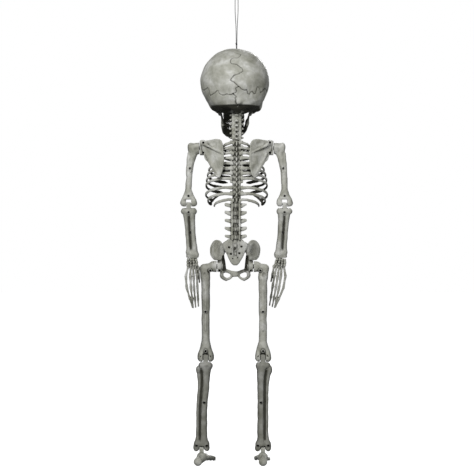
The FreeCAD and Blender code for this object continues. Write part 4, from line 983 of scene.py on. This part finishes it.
def pelvis():
    x = PELVIS_SWAY
    c = Clay((-56, -26, -626), (62, 34, -526), 0.75)
    edge = [(14, -531), (15.5, -536), (23, -538), (24, -543), (20, -553), (14, -566), (7, -579), (3, -583)]
    outline = [(-out, z) for out, z in edge] + edge[::-1]
    c.add(plate(outline, (x, 20, 0), (1, 0, 0), (0, 0, 1), 3.4, 2.6), 0)
    for s in SIDES.values():
        wing = turned("Z", -40 * s)
        centre = np.array((x + s * 39.5, 5, HIP_Z + 35.3))
        c.add(ball(centre, (18.6, 4.6, 22), wing), 0)
        dish = centre + wing @ np.array((0, 10.5, 1))
        c.cut(ball(dish, (16, 9, 19), wing), 2.5)
        crest = [centre + wing @ (s * 18.2 * cos(a), 0, 21.6 * sin(a)) for a in np.linspace(-1.1, 4.2, 13)]
        c.run(crest, [1.9] * len(crest), 1.5, None, 2)
        c.run([(x + s * 17, 20, -538), (x + s * 26, 16, -548), (x + s * 30, 10, -560)], [6, 7, 6], 4)
        c.run([(x + s * 31, 2, -552), (x + s * 32.3, 1, -568), (x + s * 32.3, 0, -582)], [5.5, 5.6, 7], 3)
        c.run([(x + s * 29, 4, -560), (x + s * 27, -1, -576), (x + s * 24, -7, -598)], [4.6, 5, 4.4], 3)
        c.add(rod((x + s * 46, 0, HIP_Z), (x + s * 37, 0, HIP_Z), 12.2, 11.8), 2)
        # the two bars that close the loop below
        loop = []
        for a in np.linspace(0, 2 * pi, 15):
            out, front = 19.5 + 11.7 * cos(a), -8.5 - 3.5 * max(0, -cos(a))
            loop.append((x + s * out, front, HIP_Z - 19 + 9 * sin(a)))
        c.run(loop, [2.9] * 15, 1.5, None, 3)
        c.run(
            [(x + s * 29, -2, HIP_Z - 4), (x + s * 20, -9, HIP_Z - 9), (x + s * 5, -13, HIP_Z - 15)],
            [5, 3.4, 4], 2,
        )
        c.run(
            [(x + s * 29, 0, HIP_Z - 10), (x + s * 29, -3, HIP_Z - 22), (x + s * 20, -9, HIP_Z - 29)],
            [4.4, 3.8, 3.2], 2,
        )
        c.add(ball((x + s * 33.5, 8, HIP_Z + 22), (4, 4, 9)), 3)
        c.cut(ball((x + s * 34.4, 12, HIP_Z + 12.2), (2.2, 6, 2.6)), 1)
    c.add(slab((x - 6, -15.5, HIP_Z - 23), (x + 6, -6.5, HIP_Z - 11), 3), 3)
    c.cut(slab((x - 0.6, -20, HIP_Z - 30), (x + 0.6, -12.6, HIP_Z - 4), 0.4), 0.8)
    # the sacrum's crest and its rows of holes
    for i in range(4):
        z = -535 - 8.5 * i
        c.add(ball((x - 0.5 * (i % 2), 26.2, z), (2.8, 2.4, 3.8)), 2.5)
        for s in SIDES.values():
            c.run(
                [(x + s * (8 - 0.9 * i), 26, z + 3), (x + s * (7.6 - 0.9 * i), 26.2, z - 4)],
                [1.3, 1.5], 2,
            )
    for s in SIDES.values():
        for out, z, size in ((13.5, -545.5, 2.4), (9.5, -560, 2.3), (5.5, -570, 1.3)):
            c.cut(ball((x + s * out, 27, z - 0.8 * s), (size, 6, size * 0.9)), 1.2)
    c.cut(ball((x + 0.5, 28, -549.5), (1.5, 4, 3.4)), 1)
    for s in SIDES.values():
        c.run(
            [(x + s * 24, 27, -534), (x + s * 22, 27.5, -545), (x + s * 16, 26, -560)], [0.8, 0.8, 0.8],
            0.8, None, 3, True,
        )
    c.lumps(18, 0.4, 51)
    wells(c, "pelvis_screws", None, 3.4)
    for s in SIDES.values():
        c.cut(slab((x + s * 39.5, -20, HIP_Z - 20), (x + s * 62, 20, HIP_Z + 13.8)), 0.5)
    cast(c.half(1, 0, 1), "pelvis_rear", "trunk", "pelvis_rear_half", shade=pelvis_hollows)
    cast(c.half(1, 0, -1), "pelvis_front", "trunk", "pelvis_front_half", shade=pelvis_hollows)


def pelvis_hollows(p, n):
    """Painted shade: the dished wings, the right one more, and the inner walls of the basin are darker, over
    a little painted shade on the whole pelvis.
    """
    out = np.abs(p[:, 0] - PELVIS_SWAY)
    middle = ((out - 41) / 13) ** 2 + ((p[:, 2] + 553) / 18) ** 2
    facing = rise(np.abs(n[:, 1]), 0.3, 0.7)
    wing = (0.22 - 0.08 * np.sign(p[:, 0])) * (1 - rise(middle, 0.35, 1.1)) * facing
    z = p[:, 2]
    wall = 0.75 * rise(-out, -30.5, -28) * rise(out, 18, 22) * rise(-z, 561, 566) * rise(z, -601, -596)
    return np.maximum(np.maximum(wing, wall), 0.17)


# ---------------------------------------------------------------- limbs


def split(c, name, body, side, shade_amount, move=STILL, shaded_groove=None):
    """Casts a limb's two halves with painted shade: a base amount, more on faces turned to the sides, and
    more along a groove's (level, x) line.
    """

    # painted shade: a base amount, more on faces turned to the sides, and more along the groove
    def painted_limb_shade(p, n):
        shade_paint = shade_amount + 0.3 * np.abs(n[:, 0]) ** 3
        if shaded_groove is None:
            return shade_paint
        depth, across = -np.array([z for z, _ in shaded_groove]), np.array([x for _, x in shaded_groove])
        inside = rise(-p[:, 2], depth[0], depth[0] + 6) * (1 - rise(-p[:, 2], depth[-1] - 6, depth[-1]))
        return shade_paint + 0.5 * inside * (1 - rise(np.abs(p[:, 0] - np.interp(-p[:, 2], depth, across)), 1.2, 3))

    for way, word in ((1, "rear"), (-1, "front")):
        cast(
            c.half(1, 0, way), f"{name}_{word}_half_{side}", body, f"{name}_{word}_shell_{side}", move,
            shade=painted_limb_shade,
        )


def fork(c, x, level, ears, slot, top):
    """Leaves two round ears about a pin at the lower end of a limb."""
    _, y, z = spread(c.axes)
    underside = np.sqrt(y**2 + np.minimum(z - level, 0) ** 2) - ears
    c.d = np.maximum(c.d, np.where(z < level, underside, -FAR).astype(np.float32))
    c.cut(slab((x - slot, -20, level - 30), (x + slot, 20, level + top), 0.6), 0.5)


def upper_arm(side):
    s = SIDES[side]
    c = Clay(*mirror_box(s, (80, -15, -462), (126, 15, -308)), 0.7)
    c.run([(s * 76, 0, -328.5), (s * 92, 0, -329), (s * 97, 0, -333)], [12.4, 11.6, 9.6], 0)
    c.run(
        [
            (s * 92, 0, -332), (s * 98.5, 0, -352), (s * 103, 0, -378), (s * ARM_X, 0, -412),
            (s * ARM_X, 0, -430),
        ],
        [9.6, 7.8, 7.0, 6.9, 7.8], 4,
    )
    c.add(ball((s * 100.5, 2, -325.5), (7.2, 7.5, 9)), 3)
    c.add(ball((s * 97, -8, -331), (4, 4, 9)), 3)
    c.run([(s * 105, 3, -340), (s * 107.5, 2, -372), (s * 108, 1, -386)], [3, 3.4, 2.6], 3)
    c.run([(s * 98.5, 6.6, -352), (s * 101, 6.9, -380)], [1.4, 1.0], 3)
    c.bar((s * 94, 0, -449.5), (s * 117, 0, -449.5), 6.8, 6.8, 4)
    for out in (-1, 1):
        c.run(
            [
                (s * (ARM_X + out * 3), 0, -426), (s * (ARM_X + out * 8.5), 0, -437),
                (s * (ARM_X + out * 10.5), 0, -447),
            ],
            [5.6, 5, 5.6], 4,
        )
        c.add(ball((s * (ARM_X + out * 12.8), 0, -443.5), (3.6, 5.4, 5.5)), 3)
    c.bar((s * ARM_X, 0, -428), (s * ARM_X, 0, -446), 7.4, 6.6, 2)
    c.bar((s * (ARM_X - 7), 0, -438), (s * (ARM_X + 7), 0, -438), 6.4, 6.4, 2)
    c.lumps(16, 0.4, 61)
    fork(c, s * ARM_X, ELBOW_Z, 7, 5.7, 10.5)
    c.cut(slab((s * 60, -20, -350), (s * 82.05, 20, -300)), 0.4)
    bore(c, s * ARM_X, ELBOW_Z, s * 16, 1.7)
    wells(c, f"upper_arm_screws_{side}")
    split(c, "upper_arm", f"upper_arm_{side}", side, 0.04)


def forearm(side):
    s = SIDES[side]
    c = Clay(*mirror_box(s, (78, -14, -576), (126, 14, -444)), 0.7)
    c.bar((s * 94.6, 0, -467.4), (s * 116.4, 0, -467.4), 7, 6.6)
    c.run(
        [
            (s * 96.5, 0, -464), (s * 97.6, 0, -476), (s * 97.4, 0, -500), (s * 95.6, 0, -528),
            (s * 93, 0, -550), (s * 92.6, 0, -562),
        ],
        [6.6, 6.6, 6.3, 6.0, 6.4, 8.2], 1.5,
    )
    c.run(
        [
            (s * 114.5, 0, -465), (s * 112.3, 0, -478), (s * 110.2, 0, -500), (s * 108.4, 0, -528),
            (s * 107, 0, -548), (s * 106.6, 0, -558),
        ],
        [6, 5, 4.3, 4.1, 4.3, 5.4], 1.5,
    )
    web = [(s * 106, 0, -472), (s * 104, 0, -510), (s * 101.5, 0, -545), (s * 100, 0, -556)]
    c.run(web, [2.6, 1.8, 1.8, 4.6], 1, ((1, 0, 0), 1.5))
    c.add(ball((s * 97.5, 0, -563), (12, 7, 7)), 3)
    c.add(ball((s * 108.4, 1, -559.5), (3.6, 4.4, 5.4)), 2)
    c.bar((s * 91, 0, -569), (s * 106, 0, -568), 6.6, 5.6, 2)
    c.add(ball((s * 87.6, 1, -564), (4, 5, 6)), 3)
    course = ((105.6, 8, -473), (104.9, 6, -490), (103.6, 5.6, -515), (102, 5.6, -540), (101, 7, -556))
    for way in (-1, 1):
        c.run([(s * x, way * y, z) for x, y, z in course], [2.0, 3.4, 3.8, 3.8, 2.2], 0.6, None, 4, True)
    c.add(slab((s * (ARM_X - 4.9), -4.2, -470), (s * (ARM_X + 4.9), 4.2, ELBOW_Z), 0.8), 0)
    c.add(rod((s * (ARM_X - 4.1), 0, ELBOW_Z), (s * (ARM_X + 4.1), 0, ELBOW_Z), 0.8), 0)
    tongue(c, s * ARM_X, ELBOW_Z, 4.9, 4.2)
    c.lumps(15, 0.35, 71)
    # keeps clear of the upper arm's round ears
    for out in (-1, 1):
        near, far = s * (ARM_X + out * 4.9), s * (ARM_X + out * 22)
        c.cut(slab((near, -12, -460.4), (far, 12, -440)), 0.4)
    bore(c, s * ARM_X, ELBOW_Z, s * 16, 1.7)
    c.cut(rod((s * WRIST_X, 0, -580), (s * WRIST_X, 0, -562), 3.2), 0.3)
    wells(c, f"forearm_screws_{side}", BENT)
    c = c.half(2, WRIST_Z + 1.1, 1)
    # painted shade along the groove between the forearm's two bones
    split(c, "forearm", f"forearm_{side}", side, 0.14, BENT, [(z, s * x) for x, _, z in course])


def tongue(c, x, level, half, radius):
    """The round end of a tongue about its pin."""
    _, y, z = spread(c.axes)
    across = np.abs(c.axes[0] - x).reshape(-1, 1, 1) - half
    disc = np.sqrt(y**2 + (z - level) ** 2) - radius
    outside = np.sqrt(np.maximum(across, 0) ** 2 + np.maximum(disc, 0) ** 2)
    shape = np.minimum(np.maximum(across, disc), 0) + outside
    c.d = np.minimum(c.d, shape.astype(np.float32))


def bore(c, x, level, half, radius):
    """A pin's hole, straight across."""
    c.cut(rod((x - half, 0, level), (x + half, 0, level), radius), 0.2)


FINGERS = (
    # start x, knuckle x, tip x, tip drop, thickness
    (-7.5, -13, -14, -60, 3.0),
    (-6, -9, -9.5, -114, 3.2),
    (-1.5, -1.5, -3, -116, 3.1),
    (3.5, 5.5, 2.5, -117, 3.2),
    (8, 15.5, 4, -116, 3.1),
)


def hand(side):
    s = SIDES[side]
    lean = {"L": 2, "R": 8}[side]
    c = Clay((-24, -18, -124), (24, 9, 3), 0.6)
    for row, (z, wide) in enumerate(((-3.5, 9), (-10, 10.4), (-16, 10.4))):
        for i in range(4):
            x = s * wide * (i - 1.5) / 1.6
            c.add(ball((x, 0.6 * (i % 2), z + (i % 2)), (3.3, 4.8, 4.4)), 1.1 if row or i else 0)
    for i, (start, knuckle, tip, drop, thick) in enumerate(FINGERS):
        spots = [
            (start, 0, -14), (knuckle, -1, 0.34 * drop), (knuckle * 0.94 + tip * 0.06, -3, 0.58 * drop),
        ]
        spots += [(0.42 * knuckle + 0.58 * tip, -6.5, 0.8 * drop), (tip, -11, drop + 2)]
        spots = [np.array((s * x, y, z)) for x, y, z in spots]
        if i == 0:
            spots = spots[:2] + [spots[2] * 0.5 + spots[3] * 0.5, spots[4]]
        for j, (a, b) in enumerate(zip(spots, spots[1:])):
            last = j == len(spots) - 2
            size = thick * (1.02, 1.02, 0.94, 0.84)[j]
            gap = (b - a) / np.linalg.norm(b - a) * (0.55 if j else 0)
            middle = (a + b) / 2 + (0, 0.4, 0)
            c.run(
                [a + gap, middle, b - gap * 0.9], [size, size * 0.7, size * (0.6 if last else 0.95)],
                0.5 if j else 1.2, None, 4,
            )
            if j:
                c.cut(rod(a + (-3.4, 0, 0), a + (3.4, 0, 0), 0.35), 0.7)
    for i in range(3):
        a = FINGERS[i + 1]
        c.run(
            [(s * (a[0] + 2.2), 4.4, -17), (s * (a[1] * 0.6 + 2.6), 3.4, -36)], [0.9, 1.2], 1.2, None,
            2, True,
        )
    for z in (-6.5, -13, -19):
        c.run(
            [(s * x, 5.8 + 0.4 * sin(x), z + 0.9 * sin(1.3 * x)) for x in range(-11, 12, 3)], [0.8] * 8,
            0.8, None, 2, True,
        )
    c.lumps(9, 0.22, 81)
    turn = turned("Y", s * lean)
    bent, shift = BENT
    wrist = np.array((s * WRIST_X, 0, WRIST_Z))
    move = (bent @ turn, bent @ wrist + shift)
    peg = Clay((-8, -8, -8), (8, 8, 13), 0.6)
    peg.add(rod((0, 0, -6), (0, 0, 9), 2.9))
    peg.d = np.maximum(peg.d, 0 * peg.d + (peg.axes[2] - 10.9).astype(np.float32).reshape(1, 1, -1))
    cast(c.half(2, -0.05, -1), f"hand_bones_{side}", f"hand_{side}", f"hand_{side}", move)
    cast(peg, f"hand_peg_{side}", f"hand_{side}", None, (bent, bent @ wrist + shift), PLASTIC)


def thigh(side):
    s = SIDES[side]
    x = THIGH_SWAY + s * LEG_X
    hip = PELVIS_SWAY
    low = np.array((min(hip + s * 38, x + s * 22), -16, -802))
    high = np.array((max(hip + s * 38, x + s * 22), 16, -572))
    c = Clay(low, high, 0.75)
    shaft = [(x + s * 0.5, 0, -604), (x, 0, -650), (x, 0, -710), (x, 0, -748), (x, 0, -766)]
    c.run(shaft, [9.8, 9.4, 8.8, 8.8, 10], 0)
    c.bar((hip + s * 38, 0, HIP_Z), (hip + s * 46.5, 0, HIP_Z), 12.2, 12.2)
    c.bar((hip + s * 46, 0, HIP_Z), (x - s * 4, 0, HIP_Z - 2.5), 9.4, 9.2, 2.5)
    c.bar((x + s * 2, 0, HIP_Z - 4), (x + s * 1, 0, HIP_Z - 24), 9.4, 9.8, 4)
    c.add(ball((x + s * 5.5, 1, HIP_Z - 5), (7, 9, 9.4)), 3)
    c.add(ball((x - s * 4.5, 5, HIP_Z - 25), (4.4, 5, 6)), 3)
    c.run(
        [(x + s * 3, 7.6, HIP_Z - 12), (x + s * 1, 8.6, HIP_Z - 24), (x - s * 2, 8.4, HIP_Z - 40)],
        [2.2, 2.0, 1.2], 2.5,
    )
    c.cut(ball((x + s * 2.2, 12.4, HIP_Z - 18), (3.4, 4, 5)), 2.5)
    c.bar((x, 8.6, HIP_Z - 50), (x, 8.6, KNEE_Z + 60), 1.6, 1.4, 3)
    for out in (-1, 1):
        c.run(
            [
                (x + out * 2.5, 0, KNEE_Z + 27), (x + out * 7.4, 0, KNEE_Z + 13),
                (x + out * 9, 0, KNEE_Z - 1),
            ],
            [7.6, 7.8, 9], 4,
        )
        c.add(ball((x + out * 10.8, 0, KNEE_Z + 3), (5.8, 9.6, 10)), 4)
        c.add(ball((x + out * 9.5, 3.5, KNEE_Z - 4), (5.5, 6.6, 6.4)), 2)
    c.cut(ball((x, 13.5, KNEE_Z + 14), (7.5, 4.6, 8)), 3)
    c.lumps(20, 0.45, 91)
    fork(c, x, KNEE_Z, 10.5, 6.4, 8.5)
    c.add(slab((x - 7, -10.2, KNEE_Z - 7), (x + 7, -8, KNEE_Z + 10), 0.8), 0.5)
    notch = [
        (x - 11.5, 9.2, KNEE_Z + 1), (x - 7.5, 10.6, KNEE_Z + 6.5), (x, 10.6, KNEE_Z + 9),
        (x + 7.5, 10.6, KNEE_Z + 6.5), (x + 11.5, 9.2, KNEE_Z + 1),
    ]
    c.run(notch, [0.8, 1.0, 1.1, 1.0, 0.8], 0.8, None, 3, True)
    c.cut(slab((hip + s * 30, -20, -610), (hip + s * 40.9, 20, -560)), 0.5)
    c.run(
        [(hip + s * 47.4, 12.8 * cos(a), HIP_Z + 12.8 * sin(a)) for a in np.linspace(0, 2 * pi, 17)],
        [0.9] * 17, 0.8, None, 1, True,
    )
    bore(c, x, KNEE_Z, 18, 2.25)
    wells(c, f"thigh_screws_{side}", None, 4.2)
    # painted shade: the left thigh is darkened more than the right
    split(c, "thigh", f"thigh_{side}", side, 0.17 if s > 0 else 0.04)


def shin(side):
    s = SIDES[side]
    knee, ankle = THIGH_SWAY + s * LEG_X, ANKLE_SWAY + s * ANKLE_X
    low, high = (min(knee, ankle) - 23, -14, -1000), (max(knee, ankle) + 23, 14, -778)
    c = Clay(low, high, 0.75)

    def along(z):
        return knee + (ankle - knee) * min(max((KNEE_Z - 8 - z) / 110, 0), 1)

    c.run(
        [(knee - 8.5, 0, KNEE_Z - 18.4), (knee + 8.5, 0, KNEE_Z - 18.4)], [7.6, 7.6], 0,
        ((0, 1, 0), 1.35), 1,
    )
    tibia = (
        (-808, -1, 11.5), (-822, -3, 9.4), (-850, -4.2, 7.8), (-900, -4.4, 7.4), (-950, -4.4, 7.4),
        (-968, -3.4, 8.4), (-980, -2.6, 9),
    )
    c.run(
        [(along(z) + s * off, 0, z) for z, off, r in tibia], [r for _, _, r in tibia], 4,
        ((1, 0, 0), 1.08),
    )
    fibula = (
        (-812, 14.2, 5), (-824, 12.6, 4.5), (-850, 9.2, 4), (-900, 8.2, 3.9), (-950, 8.2, 3.9),
        (-970, 8.8, 4.6), (-984, 10.6, 5.6),
    )
    c.run([(along(z) + s * off, 0.5, z) for z, off, _ in fibula], [r for _, _, r in fibula], 2)
    web = ((-812, 7.5), (-824, 6), (-845, 4.4), (-910, 3.6), (-960, 3.6))
    c.run([(along(z) + s * off, 0, z) for z, off in web], [4.4, 4, 3, 3, 3.4], 1)
    course = (
        (-813, 8, 7.6), (-830, 5.6, 6.6), (-850, 4.4, 6.2), (-900, 4.1, 6.2), (-950, 4.1, 6.2),
        (-972, 4.2, 7),
    )
    for way in (-1, 1):
        trough = [(along(z) + s * off, way * deep, z) for z, off, deep in course]
        c.run(trough, [1.8, 3.2, 3.5, 3.5, 3.4, 2.2], 0.6, None, 4, True)
    c.add(ball((along(-815) + s * 14.6, 1, -816), (5.2, 6.6, 8.5)), 3)
    for out in (-1, 1):
        c.run(
            [
                (ankle + out * 6, 0, ANKLE_Z + 20), (ankle + out * 10, 0, ANKLE_Z + 8),
                (ankle + out * 11, 0, ANKLE_Z + 1),
            ],
            [6, 6.4, 6.4], 4,
        )
        c.add(ball((ankle + out * 12.6, 0, ANKLE_Z + 2), (4.2, 6.6, 7.6)), 3)
    c.bar((ankle - 10, 0, ANKLE_Z + 11), (ankle + 10, 0, ANKLE_Z + 11), 6.6, 6.6, 3)
    c.add(slab((knee - 5.5, -6.8, KNEE_Z - 22), (knee + 5.5, 6.8, KNEE_Z), 1), 0)
    tongue(c, knee, KNEE_Z, 5.5, 6.8)
    c.lumps(20, 0.45, 101)
    for out in (-1, 1):
        near, far = knee + out * 5.6, knee + out * 24
        c.cut(slab((near, -16, KNEE_Z - 11.4), (far, 16, KNEE_Z + 10)), 0.4)
    fork(c, ankle, ANKLE_Z, 6.4, 5.4, 5.6)
    c.add(slab((ankle - 6, -7.2, ANKLE_Z - 0.5), (ankle + 6, -5.5, ANKLE_Z + 8), 0.5), 0.4)
    bore(c, knee, KNEE_Z, 10, 2.3)
    bore(c, ankle, ANKLE_Z, 16, 1.75)
    wells(c, f"shin_screws_{side}", None, 3.1)
    # the groove's line between the shin's two bones, where painted shade is laid
    shaded_groove = [(z, along(z) + s * off) for z, off, _ in course]
    split(c, "shin", f"shin_{side}", side, 0.3, shaded_groove=shaded_groove)


def foot(side):
    s = SIDES[side]
    toe_in = {"L": 18, "R": 0}[side]
    c = Clay((-26, -98, -38), (26, 36, 6), 0.75)
    sole = SOLE_Z - ANKLE_Z
    c.run(
        [(0, 22, sole + 9.5), (0, 12, sole + 12), (0, 0, sole + 14), (0, -18, sole + 14)],
        [8, 9.4, 9.6, 9.4], 0,
    )
    c.add(ball((0, 24, sole + 9.2), (9, 8.6, 9)), 3)
    c.add(ball((0, 0, sole + 15), (10.5, 15, 8.6)), 3)
    c.add(ball((0, 1, sole + 20), (9, 10, 7)), 3)
    for i in range(5):
        spread = -14.5 + 7.2 * i
        thick = 4.4 if i == 0 else 3.3
        tip = -89 + 1.1 * i**1.6
        root = (s * spread * 0.55, -16, sole + 15 - 1.3 * i)
        ball_of = (s * spread, -58, sole + thick + 0.6)
        c.run(
            [root, (s * spread * 0.8, -38, sole + 11 - 1.2 * i), ball_of],
            [4.6, thick * 0.9, thick * 1.06], 1.6,
        )
        joint = (s * spread, -0.35 * 60 + 0.65 * tip, sole + thick)
        c.run([(s * spread, -60, sole + thick), joint], [thick * 1.02, thick * 0.85], 0.6, None, 3)
        c.run(
            [(joint[0], joint[1] - 1, joint[2]), (s * spread, tip + thick * 0.8, sole + thick * 0.8)],
            [thick * 0.9, thick * 0.66], 0.6, None, 3,
        )
        for y in (-59.5, joint[1] - 0.4):
            c.run(
                [(s * spread - 3, y, sole + thick * 2), (s * spread + 3, y, sole + thick * 2)],
                [0.7, 0.7], 0.8, None, 1, True,
            )
        if i < 4:
            c.run(
                [
                    (s * (spread + 3.6) * 0.6, -24, sole + 19 - 1.4 * i),
                    (s * (spread + 3.6) * 0.85, -42, sole + 13.5 - i),
                    (s * (spread + 3.6), -58, sole + 8),
                ],
                [0.8, 1.5, 1.4], 1.5, None, 4, True,
            )
    for y, z in ((-8, 22.8), (-20, 20.5)):
        c.run(
            [(x, y + 1.2 * sin(x), sole + z - 0.04 * x * x) for x in range(-11, 12, 3)], [0.9] * 8, 1,
            None, 2, True,
        )
    c.cut(ball((s * -6, -34, sole - 1), (10, 22, 6)), 4)
    c.run([(0, 30, sole + 15), (0, 24, sole + 19), (0, 14, sole + 22)], [1.2, 1.6, 1.6], 3)
    c.lumps(16, 0.35, 111)
    c.d = np.maximum(c.d, (sole - c.axes[2]).reshape(1, 1, -1).astype(np.float32) + 0 * c.d)
    # room for the shin's ears, and the tongue that rises between them
    t = Clay((-30, -100, -38), (30, 44, 6), 0.75)
    grids = np.meshgrid(*t.axes, indexing="ij")
    spots = np.stack([g.ravel() for g in grids], 1) @ turned("Z", -s * toe_in)
    t.d = c.at(spots).reshape(t.d.shape).astype(np.float32)
    outside = (np.abs(spots[:, 0]) > 25.5) | (spots[:, 1] < -97) | (spots[:, 1] > 35)
    t.d[outside.reshape(t.d.shape)] = FAR
    for out in (-1, 1):
        t.cut(slab((out * 4.9, -12, -8.4), (out * 26, 12, 8)), 1)
        t.cut(rod((out * 5.2, 0, 0), (out * 26, 0, 0), 8), 0.4)
    t.add(slab((-4.8, -4.4, -22), (4.8, 4.4, 0), 0.8), 0.6)
    tongue(t, 0, 0, 4.8, 4.4)
    bore(t, 0, 0, 9, 1.75)
    where = np.array((ANKLE_SWAY + s * ANKLE_X, 0, ANKLE_Z))
    cast(t, f"foot_bones_{side}", f"foot_{side}", f"foot_{side}", (np.eye(3), where))


# ---------------------------------------------------------------- the whole figure

skull()
jaw()
neck()
top_of_breast = chest()
lumbar()
pelvis()
for one_side in SIDES:
    shoulder(one_side, top_of_breast)
    upper_arm(one_side)
    forearm(one_side)
    hand(one_side)
    thigh(one_side)
    shin(one_side)
    foot(one_side)

knot = Clay((-5, -5, -104), (5, 5, -94), 0.25)
for i in range(3):
    turns = []
    for a in np.linspace(0, 2 * pi, 15):
        turns.append((1.25 * cos(a) + 0.3 * i, 1.15 * sin(a), -100.2 + 1.2 * i + 0.35 * sin(a + i)))
    knot.run(turns, [0.72] * 15, 0.15, None, 1)
knot.add(ball((0, 0, -99), (1.5, 1.3, 2.2)), 0.3)
knot_piece = cast(knot, "cord_knot", "skull", "hanging_cord_knot", material=CORD)

for node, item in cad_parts.items():
    if item.hide_render:
        continue
    item.data.materials.clear()
    item.data.materials.append(STEEL if "screws" in node else PLASTIC)
